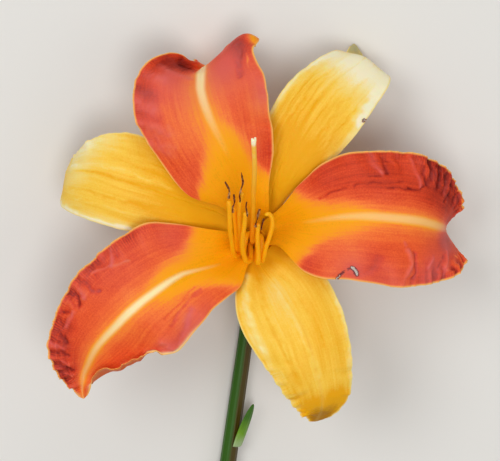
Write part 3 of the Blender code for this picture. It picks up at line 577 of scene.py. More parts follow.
            ((0.45, 0.25), 9, 0.1, 0),
        ],
    },
    "sepal_left": {
        **SEPAL,
        "azimuth": 155,
        "ccw": [(-9, 1, 3.8), (-20, -0.5, 9), (-31, 0, 11), (-41.5, 2, 11), (-51, 5, 7), (-57.5, 8.5, -1),
                (-56.5, 13, -10)],
        "mid": [(-8.8, 5.8, 4.5), (-18.5, 9.5, 10), (-28.5, 13, 13), (-39, 16, 13.5), (-47.5, 18.5, 10),
                (-54, 18.5, 3), (-56, 18.2, -8.5)],
        "cw": [(-6.5, 10, 5), (-17, 20, 9), (-30, 28, 11), (-41, 30, 10), (-49, 27.5, 6), (-53.5, 23.5, -2),
               (-54.5, 22.5, -9.5)],
        "tip": (-53, 18, -18),
        "redness": 0.6,
        "folds": [
            ([(0.25, 0), (0.45, 0), (0.75, 0)], 0.35, -0.17, -0.1, 0),
            ([(0.35, -0.97), (0.5, -0.97), (0.65, -0.96), (0.8, -0.97)], 1.05, 0.05, 0.75, 0),
            ([(0.35, -0.35), (0.55, -0.42), (0.75, -0.45)], 0.63, -0.1, -0.14, 0),
            ([(0.3, -0.6), (0.5, -0.62), (0.7, -0.62)], 0.42, 0.07, 0.1, 0),
            ([(0.35, 0.3), (0.55, 0.4), (0.75, 0.45)], 0.49, -0.1, -0.1, 0),
            ([(0.4, 0.16), (0.6, 0.2), (0.78, 0.22)], 0.56, 0.07, 0.14, 0),
        ],
        "crimps": [(-1, 0.4, 0.9, 0.1), (1, 0.45, 0.9, 0.4)],
        "blushes": [((0.72, 0.8), 7, 0.3, 0), ((0.66, 0.97), 4, 0.25, 0), ((0.75, 0.2), 8, 0.15, 0),
                    ((0.6, 0.9), 6, 0.2, 0), ((0.82, -0.4), 5, -0.1, 0), ((0.8, 0.1), 8, 0.1, 0),
                    ((0.4, -0.4), 8, -0.08, 0)],
    },
    "sepal_upper_right": {
        **SEPAL,
        "azimuth": 54,
        "ccw": [(1, 9.5, 4), (1.5, 20.5, 9), (3.5, 32, 11), (9.5, 43, 11), (17, 50.5, 8), (25.3, 55.1, 1.5),
                (27.6, 53.8, -4.5)],
        "mid": [(5, 8.5, 4.5), (7, 16.5, 10), (11, 26, 13), (17, 36, 14), (24.5, 45, 11), (33.3, 52, 4),
                (31.6, 53.2, -4)],
        "cw": [(8, 6.5, 4), (13, 13, 9), (22.3, 20.5, 12), (29.8, 28.3, 13), (36.4, 37.5, 11),
               (41.3, 46.5, 4), (36.5, 49, -5)],
        "tip": (31.2, 57.7, -9),
        "redness": 0.55,
        "folds": [
            ([(0.25, -0.14), (0.45, -0.17), (0.72, -0.2)], 0.22, -0.06, -0.14, 0),
            ([(0.3, 0.16), (0.5, 0.2), (0.74, 0.22)], 0.22, -0.06, -0.14, 0),
            ([(0.3, -0.52), (0.5, -0.58), (0.68, -0.6)], 0.22, -0.06, -0.12, 0),
            ([(0.35, 0.58), (0.5, 0.64), (0.68, 0.68)], 0.22, -0.06, -0.14, 0),
            ([(0.25, 0), (0.45, 0.02), (0.75, 0)], 0.38, -0.17, -0.1, 0),
            ([(0.3, -0.3), (0.5, -0.35), (0.7, -0.38)], 0.45, -0.1, -0.1, 0),
            ([(0.3, 0.35), (0.5, 0.42), (0.72, 0.45)], 0.6, -0.1, -0.12, 0),
            ([(0.35, -0.98), (0.5, -0.98), (0.65, -0.97), (0.75, -0.9)], 1.4, 0, 0.4, 0),
            ([(0.45, 0.98), (0.55, 0.97), (0.62, 0.95)], 1.6, 0, 0.35, 0),
            ([(0.62, 0.95), (0.7, 0.95), (0.78, 0.95)], 2.4, 0, 0.8, 0),
        ],
        "crimps": [(-1, 0.5, 0.9, 0.15), (1, 0.5, 0.9, 0.12)],
        "blushes": [((0.76, 0.05), 9, 0.6, 0), ((0.72, 0.55), 8, 0.4, 0), ((0.72, -0.6), 8, 0.4, 0),
                    ((0.97, 0), 4, 0, 0.85), ((0.45, -0.55), 8, -0.05, 0),
                    ((0.44, 0.42), 7, -0.14, 0)],
        "tears": [([(0.619, 1), (0.617, 0.96)], 0.45)],
    },
}

# Each stamen: where its filament starts on the tube's wall, the points that
# the filament passes, and the points along its anther.
STAMENS = [
    {"azimuth": 210,
     "filament": [(-2.1, -2.4, 4.5), (-3.3, -4.9, 7.5), (-4.9, -6.3, 10.5), (-5.6, -4.7, 15),
                  (-5.9, -2, 19), (-6.3, 0.7, 23), (-6.4, 3.4, 26), (-6.5, 7.3, 29.5),
                  (-6.6, 9.6, 31)],
     "anther": [(-6.7, 10.1, 32.1), (-6.5, 12.3, 33.5), (-7.1, 13.8, 34), (-7.7, 15, 34)]},
    {"azimuth": 150,
     "filament": [(-2.8, 0.3, 4.5), (-3.8, -1.9, 6.8), (-4.1, -4.6, 9.2), (-4.4, -2.6, 12.5),
                  (-4.6, 0.7, 16.5), (-4.8, 3.4, 19.5), (-5.1, 6, 22.5), (-5.3, 7.4, 23.8)],
     "anther": [(-5.6, 6.1, 24.6), (-5.7, 7.3, 25.3), (-5.2, 8.7, 25.9), (-5.1, 10.1, 26.4),
                (-5.3, 11.5, 26.6)]},
    {"azimuth": 95,
     "filament": [(-1.3, -0.2, 4.5), (-2.1, -2.7, 7.2), (-2.8, -5.6, 10.5), (-3.5, -2.6, 15),
                  (-3.6, 0.6, 19), (-3.7, 3.4, 22), (-3.7, 7.3, 26), (-3.3, 9.7, 28.5),
                  (-2.8, 11.9, 30.5)],
     "anther": [(-3.4, 9.1, 30.2), (-3.5, 11, 31.4), (-3.2, 12.6, 32), (-2.8, 13.9, 32.2),
                (-2.6, 15, 32.3), (-2.8, 16.2, 32.2), (-3.1, 17.6, 32)]},
    {"azimuth": 262,
     "filament": [(-0.5, -3.2, 4.5), (-0.3, -6.9, 9.5), (-1.5, -7.9, 12.5), (-2.4, -6.1, 15.5),
                  (-2.8, -3.4, 19), (-2.7, -0.7, 22.5), (-2.3, 2, 25), (-2, 4.7, 27.5),
                  (-1.9, 6.2, 28.6)],
     "anther": [(-1.3, 4.9, 29.3), (-1.5, 6.4, 30.2), (-1.7, 7.9, 30.6), (-1.5, 9.3, 30.6)]},
    {"azimuth": 315,
     "filament": [(1.6, -2.6, 4.5), (1.5, -5, 7.2), (1.4, -7.2, 10), (1.8, -8.3, 13.5), (1.8, -4.7, 17),
                  (1.6, -2, 19.5), (1.6, 0.7, 21.5), (1.8, 3.1, 23)],
     "anther": [(1, 1.9, 24.1), (1.2, 3.4, 24.9), (1.6, 4.7, 25.3), (1.8, 6, 25.5), (2.3, 7.3, 25.4)]},
    {"azimuth": 20,
     "filament": [(2.8, -1, 4.5), (2.9, -4.2, 7), (2.9, -7.1, 9.7), (3.1, -7.7, 12.5), (3.8, -4.7, 15.5),
                  (4.7, -2, 18), (5.5, 0.7, 20), (5.9, 3.4, 21.5), (5.4, 5.4, 22.5), (4.4, 5.8, 22.9),
                  (3.9, 5.2, 22.9)],
     "anther": [(3.5, 4.5, 22.7), (3.1, 3.5, 22.2), (2.8, 2.2, 21.5), (2.5, 1, 20.6)]},
]

# The points that the style passes, from the tube's mouth to the stigma.
STYLE_PATH = [(0.4, -1.3, 4.5), (0.2, -2.2, 9), (0, -1.5, 12.5), (0.1, 0.5, 16.5), (0.2, 3.4, 21),
              (0.3, 8.6, 29.5), (0.5, 13.8, 36.5), (0.7, 18.9, 42), (0.5, 23.9, 46.5),
              (0.5, 26.4, 48.2)]

# The points that the stem passes, from behind the tube to the cut end.
STEM_PATH = [(0.45, -10.6, -19), (0.2, -13.6, -21.1), (-0.4, -18.5, -22.6), (-1.6, -30, -25.2),
             (-4.4, -50, -29.6), (-7.6, -72, -34.3), (-11, -94, -39.2), (-13.4, -112, -43.15)]


def linear(code):
    """An sRGB hex colour as linear red, green and blue."""
    parts = [int(code[i:i + 2], 16) / 255 for i in (1, 3, 5)]
    return tuple(p / 12.92 if p <= 0.04045 else ((p + 0.055) / 1.055) ** 2.4 for p in parts)


def length_property(name, millimetres, description):
    return bpy.props.FloatProperty(name=name, description=description, default=millimetres * MM,
                                   min=0, unit="LENGTH", precision=5)


def colour_property(name, code, description):
    return bpy.props.FloatVectorProperty(name=name, description=description, default=linear(code),
                                         size=3, min=0, max=1, subtype="COLOR")


class DaylilySizes(bpy.types.PropertyGroup):
    """Sizes of the bloom's finer forms."""

    blade_thickness: length_property("Blade thickness", 0.7, "Thickness of a petal or sepal at its middle")
    rim_thickness: length_property("Rim thickness", 0.34, "Thickness of a petal or sepal at its margin")
    ruffle_height: length_property("Ruffle height", 0.9, "Height of the large waves of a petal's margin")
    crimp_height: length_property("Crimp height", 0.23, "Height of the fine pleats across the margin")
    crimp_spacing: length_property("Crimp spacing", 0.8, "Distance from one fine pleat to the next")
    crinkle_height: length_property("Crinkle height", 0.25, "Height of the crepe-like wrinkles in the rim")
    swell_height: length_property("Swell height", 0.45, "Height of a blade's slow swells")
    groove_depth: length_property("Midrib groove", 0.14, "Depth of the groove on a midrib's upper face")
    keel_height: length_property("Midrib keel", 0.55, "Height of the keel under a midrib")
    filament_radius: length_property("Filament radius", 0.84, "Radius of a filament at its foot")
    filament_tip_radius: length_property("Filament tip radius", 0.66,
                                         "Radius of a filament under its anther")
    anther_radius: length_property("Anther radius", 0.22, "Radius of a shrivelled anther")
    pollen_radius: length_property("Pollen radius", 0.07, "Radius of a clump of pollen grains")
    style_radius: length_property("Style radius", 0.68, "Radius of the style")
    stigma_radius: length_property("Stigma radius", 0.7, "Radius of the stigma over its three lobes")
    stigma_lobe: length_property("Stigma lobe", 0.75, "Length of the stigma's three lobes")
    pedicel_radius: length_property("Pedicel radius", 2.0, "Radius of the stem just behind the tube")
    stem_radius: length_property("Stem radius", 2.6, "Radius of the stem at its cut end")
    stem_rib: length_property("Stem rib", 0.07, "Height of the fine ribs along the stem")


class DaylilyColours(bpy.types.PropertyGroup):
    """Colours of the bloom's tissues."""

    # Painted shade: the olive that tissue takes next to the tube, deep in the throat.
    throat_shade_olive: colour_property("Throat olive", "#c69408", "Tissue next to the tube")
    throat_gold: colour_property("Throat gold", "#f8a600", "Petal tissue in the throat")
    petal_amber: colour_property("Petal amber", "#f89c1c", "Petal tissue where the gold turns to orange")
    petal_orange: colour_property("Petal orange", "#f47c34", "Petal tissue beside the midrib")
    petal_coral: colour_property("Petal coral", "#e85e2c", "Petal tissue in the light part of the face")
    petal_red: colour_property("Petal red", "#d4421e", "Petal tissue in the red face")
    # Partly the petal's own deep red, partly painted shade in its folds and crimps.
    petal_deep_red_and_shade: colour_property("Petal deep red", "#9a2414", "Petal tissue in folds and crimps")
    # Painted shade at the bottom of a crimp.
    petal_crease_shade: colour_property("Petal dark red", "#66120e", "Petal tissue at the bottom of a crimp")
    # A painted pinkish sheen on a petal's ridges, crests and margins.
    petal_sheen_rose: colour_property("Petal rose", "#dc645c", "The rosy bloom towards a petal's margins")
    petal_rim: colour_property("Petal rim", "#f8c064", "The thin yellow edge of a petal")
    petal_band: colour_property("Midrib band", "#fbe6ae", "The pale band on a petal's midrib")
    petal_under: colour_property("Petal underside", "#c85e28", "The outer face of a petal")
    torn_tissue: colour_property("Torn tissue", "#7c383f", "The dried purple-brown edge of a tear")
    sepal_base: colour_property("Sepal base", "#eaa800", "Sepal tissue in the throat")
    sepal_gold: colour_property("Sepal gold", "#eeaa10", "Sepal tissue past the throat")
    sepal_yellow: colour_property("Sepal yellow", "#f8c848", "Sepal tissue in the middle")
    sepal_pale: colour_property("Sepal pale", "#f6dc86", "Sepal tissue towards its end and margins")
    sepal_white: colour_property("Sepal cream", "#f6ecc6", "The palest margins of a sepal")
    sepal_tip: colour_property("Sepal tip", "#b07600", "The brownish tip of a sepal")
    sepal_nub: colour_property("Sepal nub", "#a4a884", "The dry green-grey nub at a sepal's tip")
    sepal_under: colour_property("Sepal underside", "#eabc4c", "The outer face of a sepal")
    filament_orange: colour_property("Filament orange", "#ffae00", "The filaments")
    pollen_dark: colour_property("Anther brown", "#5a1e0c", "A dried anther's wall")
    pollen_light: colour_property("Pollen", "#d0985c", "Pollen left on a dried anther")
    style_gold: colour_property("Style gold", "#fcaa08", "The style's lower part")
    style_yellow: colour_property("Style yellow", "#f8bc3c", "The style's upper part")
    style_cream: colour_property("Style cream", "#f8ecc8", "The stigma")
    tube_yellow: colour_property("Tube yellow", "#d8b440", "The tube behind the bloom")
    tube_green: colour_property("Tube green", "#8a9a34", "The tube's foot")
    stem_green: colour_property("Stem green", "#2f5c08", "The stem's fresh side")
    stem_pith: colour_property("Stem pith", "#b8c48a", "The pale pith in the stem's cut end")
    # The darker brown of the stem's skin on its right side.
    stem_brown: colour_property("Stem brown", "#4a3c0a", "The stem's sunburnt side")
    bract_pale: colour_property("Bract base", "#a4b888", "The pale foot of the small leaf")
    bract_light: colour_property("Bract light green", "#6c9a1c", "The small leaf above its foot")
    bract_green: colour_property("Bract green", "#3a6a0c", "The small leaf's tip")
    table_pale: colour_property("Table", "#e2e0db", "The table under the flower")


def smoothstep(low, high, value):
    """0 before low, 1 past high and a smooth rise between them."""
    x = np.clip((value - low) / (high - low), 0, 1)
    return x * x * (3 - 2 * x)


def within(start, end, value):
    """0 before start, 1 between start and end and 0 past end, with smooth steps. Both are pairs."""
    return smoothstep(*start, value) * smoothstep(*end, value)


def bell(distance, width):
    """1 at a distance of 0, fading to nothing over twice the width."""
    return np.exp(-(distance / width) ** 2)


def spline_weights(knots, places):
    """Weights of the points at knots in a natural cubic spline read at places."""
    knots = np.asarray(knots, float)
    places = np.clip(places, knots[0], knots[-1])
    count = len(knots)
    step = np.diff(knots)
    bending = np.eye(count)
    slopes = np.zeros((count, count))
    for i in range(1, count - 1):
        bending[i, i - 1:i + 2] = step[i - 1], 2 * (step[i - 1] + step[i]), step[i]
        slopes[i, i - 1] = 6 / step[i - 1]
        slopes[i, i + 1] = 6 / step[i]
        slopes[i, i] = -slopes[i, i - 1] - slopes[i, i + 1]
    second = np.linalg.solve(bending, slopes)
    left = np.clip(np.searchsorted(knots, places, side="right") - 1, 0, count - 2)
    width = step[left]
    b = (places - knots[left]) / width
    a = 1 - b
    points = np.eye(count)
    curved = (a**3 - a)[:, None] * second[left] + (b**3 - b)[:, None] * second[left + 1]
    return a[:, None] * points[left] + b[:, None] * points[left + 1] + curved * (width**2 / 6)[:, None]


def smooth_path(points, count):
    """count places along a smooth curve through points, as an array."""
    knots = np.linspace(0, 1, len(points))
    return spline_weights(knots, np.linspace(0, 1, count)) @ np.asarray(points, float)


def noise_over(x, y, seed):
    """Smooth noise from -1 to 1 over arrays x and y, with a hill or hollow to each unit."""
    size = 64
    heights = np.random.default_rng(seed).uniform(-1, 1, (size, size))
    left = np.floor(x).astype(int)
    low = np.floor(y).astype(int)
    a = x - left
    b = y - low
    a = a * a * a * (a * (a * 6 - 15) + 10)
    b = b * b * b * (b * (b * 6 - 15) + 10)
    corners = [heights[(left + i) % size, (low + j) % size] for i in (0, 1) for j in (0, 1)]
    return (corners[0] * (1 - a) * (1 - b) + corners[1] * (1 - a) * b
            + corners[2] * a * (1 - b) + corners[3] * a * b)


def in_metres(points):
    return [tuple(Vector(point) * MM) for point in points]


def tube_axis():
    """The tube's direction, out of its mouth."""
    return Vector((0, math.sin(TUBE_TILT), math.cos(TUBE_TILT)))


def ring_point(azimuth, radius, rise=0.0, tilt=TUBE_TILT):
    """A place on a ring round the tube's axis, with the ring's centre that far above the mouth."""
    around = Vector((math.cos(math.radians(azimuth)), math.sin(math.radians(azimuth)), 0))
    around.rotate(Matrix.Rotation(-tilt, 3, "X"))
    return MOUTH + tube_axis() * rise + around * radius


def unit(vectors):
    return vectors / np.maximum(np.linalg.norm(vectors, axis=-1, keepdims=True), 1e-12)


def normals_of(grid):
    """Unit normals of a grid of places, on the side of a blade's upper face."""
    return unit(np.cross(np.gradient(grid, axis=1), np.gradient(grid, axis=0)))


def steps_along(grid, axis):
    """How far each place of a grid is from the first one of its line, along that axis."""
    lengths = np.linalg.norm(np.diff(grid, axis=axis), axis=2)
    return np.insert(np.cumsum(lengths, axis=axis), 0, 0, axis=axis)


def run_along(spine):
    """How far each place of a spine is from its first one."""
    return steps_along(spine[:, None], 0)[:, 0]


def full_turn(around):
    """The angles of a ring's places, where the last place is the first one again."""
    turn = np.linspace(0, 2 * math.pi, around + 1)
    turn[-1] = 0
    return turn


def paired(first, second):
    """Two arrays as one of pairs, each spread over the rows and columns of both."""
    return np.stack(np.broadcast_arrays(first, second), axis=2)


def wrapped(top, bottom):
    """A sheet's upper face and, back round its margin, its lower one. They share one margin."""
    return np.concatenate([top, bottom[:, -2::-1]], axis=1)


def control_net(blade):
    """The blade's guide points: a row for each station, with five columns from ccw margin to cw."""
    net = []
    rings = ((blade["ring"], BLADE_LIFT, TUBE_TILT),
             (blade["ring"] + THROAT_FLARE, blade["rise"], THROAT_TILT))
    for radius, rise, tilt in rings:
        row = []
        for part in (1, SHOULDER, 0, -SHOULDER, -1):
            row.append(ring_point(blade["azimuth"] + part * blade["span"], radius, rise, tilt))
        net.append(row)
    last = len(blade["mid"])
    for station, points in enumerate(zip(blade["ccw"], blade["mid"], blade["cw"])):
        ccw, mid, cw = (Vector(p) * MM for p in points)
        crown = Vector((0, 0, blade["crown"] * math.sin(math.pi * (station + 1) / (last + 1))))
        shoulders = {"fold_ccw": mid.lerp(ccw, SHOULDER) + crown,
                     "fold_cw": mid.lerp(cw, SHOULDER) + crown}
        for side in shoulders:
            if station in blade.get(side, {}):
                shoulders[side] = Vector(blade[side][station]) * MM
        net.append([ccw, shoulders["fold_ccw"], mid, shoulders["fold_cw"], cw])
    tip = Vector(blade["tip"]) * MM
    ccw, mid, cw = (Vector(blade[line][-1]) * MM for line in ("ccw", "mid", "cw"))
    ends = [tip + (margin - mid) * TIP_WIDTH + (mid - tip) * TIP_ROUND for margin in (ccw, cw)]
    net.append([ends[0], tip.lerp(ends[0], SHOULDER), tip, tip.lerp(ends[1], SHOULDER), ends[1]])
    return np.array([[tuple(p) for p in row] for row in net])


def on_blade(net, along, across):
    """Places on the blade's smooth surface, for arrays along and across of one shape."""
    shape = along.shape
    rows = spline_weights(np.linspace(0, 1, len(net)), along.ravel())
    columns = spline_weights([-1, -SHOULDER, 0, SHOULDER, 1], across.ravel())
    return np.einsum("ni,nk,ikc->nc", rows, columns, net).reshape(*shape, 3)


def ruffled(blade, along, across, height):
    """How far the margins wave off the smooth surface."""
    near_margin = smoothstep(RUFFLE_INSIDE, 1, np.abs(across))
    reach = within(RUFFLE_START, RUFFLE_END, along)
    turn = 2 * math.pi * blade["ruffles"] * along
    phase = np.where(across < 0, CCW_PHASE, CW_PHASE)
    wave = np.sin(turn + phase) + RIPPLE_SHARE * np.sin(RIPPLE_RATE * turn + 2 * phase)
    return height * near_margin * reach * wave * (blade["ruffles"] > 0)


def distance_to_line(places, line):
    """How far each place is from a line of points."""
    nearest = np.full(places.shape[:2], np.inf)
    for start, end in zip(line[:-1], line[1:]):
        run = end - start
        share = np.clip(((places - start) @ run) / (run @ run), 0, 1)
        nearest = np.minimum(nearest, np.linalg.norm(places - start - share[..., None] * run, axis=2))
    return nearest


def add_node(tree, kind, inputs=(), stops=(), **settings):
    """Adds a node with its settings, a ramp's stops, and values or links for its inputs."""
    node = tree.nodes.new(kind)
    for name, value in settings.items():
        setattr(node, name, value)
    for name, value in dict(inputs).items():
        if isinstance(value, bpy.types.NodeSocket):
            tree.links.new(value, node.inputs[name])
        else:
            node.inputs[name].default_value = value
    if stops:
        marks = node.color_ramp.elements
        while len(marks) < len(stops):
            marks.new(0.5)
        for mark, (position, colour) in zip(marks, stops):
            mark.position = position
            mark.color = (*colour, 1)
    return node


def new_material(name):
    """An empty material with a Principled surface. Gives its node tree and its shader."""
    made = bpy.data.materials.new(name)
    made.use_nodes = True
    return made, made.node_tree, made.node_tree.nodes["Principled BSDF"]


def deselect_all():
    for obj in bpy.context.selected_objects:
        obj.select_set(False)


def cut_out(mesh, torn):
    """Deletes the faces that lie wholly in a tear."""
    whole = bmesh.new()
    whole.from_mesh(mesh)
    lost = [face for face in whole.faces if all(torn[corner.index] for corner in face.verts)]
    bmesh.ops.delete(whole, geom=lost, context="FACES")
    whole.to_mesh(mesh)
    whole.free()


def closed_piece(name, places, pattern, marks, finish, torn=None):
    """A flat grid carried onto places, with its seam and its ends merged so that it is closed.

    places, pattern and marks are arrays of rows and columns: bloom places, the
    UV map in millimetres, and the named values that the finish reads. torn says
    which places lie in a tear, where both faces are cut out.
    """
    rows, columns = places.shape[0] - 1, places.shape[1] - 1
    deselect_all()
    bpy.ops.mesh.primitive_grid_add(x_subdivisions=columns, y_subdivisions=rows, size=1)
    piece = bpy.context.object
    piece.name = name
    mesh = piece.data
    flat = np.zeros(len(mesh.vertices) * 3, np.float32)
    mesh.vertices.foreach_get("co", flat)
    flat = flat.reshape(-1, 3)
    row = np.rint((flat[:, 1] + 0.5) * rows).astype(int)
    column = np.rint((flat[:, 0] + 0.5) * columns).astype(int)
    turn = np.array(BLOOM_TO_TABLE.to_3x3())
    table_places = places[row, column] @ turn.T + np.array(BLOOM_TO_TABLE.translation)
    table_places[:, 2] = np.maximum(table_places[:, 2], 0)
    mesh.vertices.foreach_set("co", table_places.astype(np.float32).ravel())
    for mark, values in marks.items():
        attribute = mesh.attributes.new(mark, "FLOAT", "POINT")
        attribute.data.foreach_set("value", values[row, column].astype(np.float32))
    corners = np.zeros(len(mesh.loops), np.int32)
    mesh.loops.foreach_get("vertex_index", corners)
    uv = pattern[row, column][corners].astype(np.float32)
    mesh.uv_layers.active.uv.foreach_set("vector", uv.ravel())
    mesh.update()
    if torn is not None:
        cut_out(mesh, torn[row, column])
    bpy.ops.object.mode_set(mode="EDIT")
    bpy.ops.mesh.select_all(action="SELECT")
    bpy.ops.mesh.remove_doubles(threshold=1e-6)
    bpy.ops.mesh.normals_make_consistent(inside=False)
    bpy.ops.object.mode_set(mode="OBJECT")
    bpy.ops.object.shade_smooth()
    mesh.materials.append(finish)
    return piece


def stand_for(piece, node):
    """The piece rides on the part and takes that node's place."""
    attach(piece, BODY)
    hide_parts(node)


def strand(spine, radii, around):
    """Places of a closed round strand along a spine: rows along it, columns round it."""
    ahead = unit(np.gradient(spine, axis=0))
    side = np.zeros_like(spine)
    first = np.cross(ahead[0], (0, 0, 1.0))
    side[0] = first / max(np.linalg.norm(first), 1e-9)
    for i in range(1, len(spine)):
        carried = side[i - 1] - ahead[i] * (side[i - 1] @ ahead[i])
        side[i] = carried / np.linalg.norm(carried)
    other = np.cross(ahead, side)
    turn = full_turn(around)[:, None]
    ring = side[:, None] * np.cos(turn) + other[:, None] * np.sin(turn)
    return spine[:, None] + ring * radii[..., None]


def line_across(points, along):
    """Where a line of (along, across) points lies across the blade, for each along."""
    places, sides = zip(*points)
    return np.interp(along, places, sides)


def smooth_line(net, points):
    """A line of (along, across) points as close places on the blade."""
    along, across = smooth_path(points, LINE_POINTS).T
    return on_blade(net, along, across)


def towards_margins(shares):
    """Shares that crowd towards both ends."""
    return shares - MARGIN_CROWDING * np.sin(2 * math.pi * shares) / (2 * math.pi)


def towards_tip(shares):
    """Shares that crowd towards the last one."""
    return shares + TIP_CROWDING * (shares - shares**2)


def spread(count, rim, crowded):
    """count shares from 0 to 1, crowded as told, with close ones over a rounded rim at both ends."""
    rim = np.asarray(rim, float)[..., None]
    close = RIM_STEPS * rim
    between = crowded(np.linspace(0, 1, count - 2 * len(RIM_STEPS) + 2))[1:-1]
    inner = rim + between * (1 - 2 * rim)
    return np.concatenate([close, inner, 1 - close[..., ::-1]], axis=-1)


class BladeShape:
    """The middle surface of a petal or sepal, with its fine forms and its tones."""

    def __init__(self, blade, rows, columns, sizes):
        self.blade = blade
        self.net = control_net(blade)
        self.rim = sizes.rim_thickness / 2
        middle = on_blade(self.net, *np.meshgrid(np.linspace(0, 1, ROUGH_STEPS), [0.0], indexing="ij"))
        length = steps_along(middle, 0)[-1, 0]
        shares = spread(rows + 1, self.rim / length, towards_tip)
        rough = on_blade(self.net, *np.meshgrid(shares, np.linspace(-1, 1, ROUGH_STEPS), indexing="ij"))
        widths = steps_along(rough, 1)[:, -1]
        self.across = 2 * spread(columns + 1, self.rim / widths, towards_margins) - 1
        self.along = np.repeat(shares[:, None], columns + 1, axis=1)
        smooth = on_blade(self.net, self.along, self.across)
        waves = ruffled(blade, self.along, self.across, sizes.ruffle_height)
        self.places = smooth + normals_of(smooth) * waves[..., None]
        self.normals = normals_of(self.places)
        from_ccw = steps_along(self.places, 1)
        self.margin = np.minimum(from_ccw, from_ccw[:, -1:] - from_ccw)
        self.run = steps_along(self.places, 0)
        self.end = np.minimum(self.run, self.run[-1] - self.run)
        self.margin_run = np.where(self.across < 0, self.run[:, :1], self.run[:, -1:])
        midrib = line_across(blade["midrib"], shares)
        centre = [np.interp(m, a, f) for m, a, f in zip(midrib, self.across, from_ccw)]
        self.from_midrib = from_ccw - np.array(centre)[:, None]
        self.crimp = self.stretches("crimps")
        self.wave = self.noise(self.margin_run / WAVE_LENGTH, self.margin / WAVE_WIDTH, WAVE_SEED)
        self.pleat = self.pleated(sizes.crimp_spacing)
        self.tear = self.outside_tears()
        self.fold_height, self.fold_tone, self.sheen_and_nub = np.zeros((3, *self.along.shape))
        self.broken = 1 + FOLD_UNEVEN * self.noise(self.run / FOLD_BREAK, self.from_midrib / FOLD_BREAK,
                                                   FOLD_SEED)
        self.add_folds()
        self.add_blushes()
        self.add_fans()
        # Painted highlight: a pinkish sheen on the wave crests of a crimped petal margin.
        crests = np.clip(self.wave, 0, 1) * self.crimp * self.near_margin(WAVE_REACH)
        self.sheen_and_nub += CREST_SHEEN * crests * (self.blade["ruffles"] > 0)

    def noise(self, x, y, seed):
        """Noise that differs from blade to blade."""
        return noise_over(x + self.blade["azimuth"], y + 2 * self.blade["azimuth"], seed)

    def near_margin(self, reach):
        """1 at the margin, fading inwards."""
        return np.exp(-self.margin / reach)

    def stretches(self, kind):
        """How strongly each place is crimped or pale-rimmed, from the stretches of margin that are."""
        strength = np.zeros_like(self.along)
        for side, first, last, amount in self.blade.get(kind, ()):
            begun = (first - CRIMP_FADE, first + CRIMP_FADE)
            ended = (last + CRIMP_FADE, last - CRIMP_FADE)
            stretch = within(begun, ended, self.along)
            strength = np.maximum(strength, amount * stretch * (self.across * side > 0))
        return strength

    def pleated(self, spacing):
        """The margin's fine pleats, from -1 in a valley to 1 on a crest."""
        steps = self.margin_run / PLEAT_WANDER, self.margin / PLEAT_WIDTH
        wander = self.noise(*steps, PLEAT_SEED)
        uneven = self.noise(*steps, UNEVEN_SEED)
        turns = self.margin_run / spacing + PLEAT_DRIFT * wander
        return np.sin(2 * math.pi * turns) * (1 - PLEAT_UNEVEN + PLEAT_UNEVEN * uneven)

    def away_from(self, points):
        """How far each place is from a line of (along, across) points."""
        return distance_to_line(self.places, smooth_line(self.net, points))

    def outside_tears(self):
        """How far each place is outside the nearest tear, and below 0 inside it."""
        outside = np.full(self.along.shape, self.rim)
        ragged = TEAR_RAGGED * self.noise(self.run / TEAR_STEP, self.margin / TEAR_STEP, TEAR_SEED)
        for points, radius in self.blade.get("tears", ()):
            outside = np.minimum(outside, self.away_from(points) - radius * MM + ragged)
        return outside

    def add(self, share, rise, deeper, pinker):
        """Adds that share of a height in millimetres, a tone that paints shade and highlight among the
        blade's own tints, and a painted pinkish sheen (on a sepal, the dry nub at its tip).
        """
        self.fold_height += rise * MM * share
        self.fold_tone += deeper * share
        self.sheen_and_nub += pinker * share

    def add_folds(self):
        """Adds the listed folds and creases, which wander a little off their lines."""
        steps = self.run / FOLD_STEP, self.from_midrib / FOLD_STEP
        drift = [self.noise(*steps, seed) for seed in WANDER_SEEDS] + [np.zeros_like(self.along)]
        places = self.places + FOLD_WANDER * np.stack(drift, axis=2)
        # The folds' tones paint shade in the creases and highlight on the ridges, and their pinkish sheen
        # is painted highlight.
        for points, width, *amounts in self.blade["folds"]:
            away = distance_to_line(places, smooth_line(self.net, points))
            self.add(bell(away, width * MM) * self.broken, *amounts)

    def add_blushes(self):
        """Adds the spots of a deeper or lighter tone and pinkish sheen: many are painted shade in hollows
        and painted sheen on crests, the rest the blade's own tints.
        """
        for (along, across), radius, deeper, pinker in self.blade["blushes"]:
            centre = on_blade(self.net, np.array([along]), np.array([across]))[0]
            away = np.linalg.norm(self.places - centre, axis=2)
            self.add(bell(away, radius * MM), 0, deeper, pinker)

    def add_fans(self):
        """Adds the fans of pleats that run in from the margin, with painted shade in their valleys and
        painted highlight on their crests.
        """
        for side, first, last, pleats, reach, rise, deeper in self.blade.get("fans", ()):
            place = (self.along - first) / (last - first)
            drift = FAN_DRIFT * self.noise(self.run / FAN_STEP, self.from_midrib / FAN_STEP, FAN_SEED)
            pleat = np.sin(2 * math.pi * pleats * place + drift) * self.broken
            share = smoothstep(reach - FAN_FADE, reach + FAN_FADE, self.across * side)
            share *= within((0, FAN_END), (1, 1 - FAN_END), place)
            self.fold_height += rise * MM * pleat * share
            self.fold_tone += deeper * np.clip(-pleat, FAN_LIGHT, 1) * share

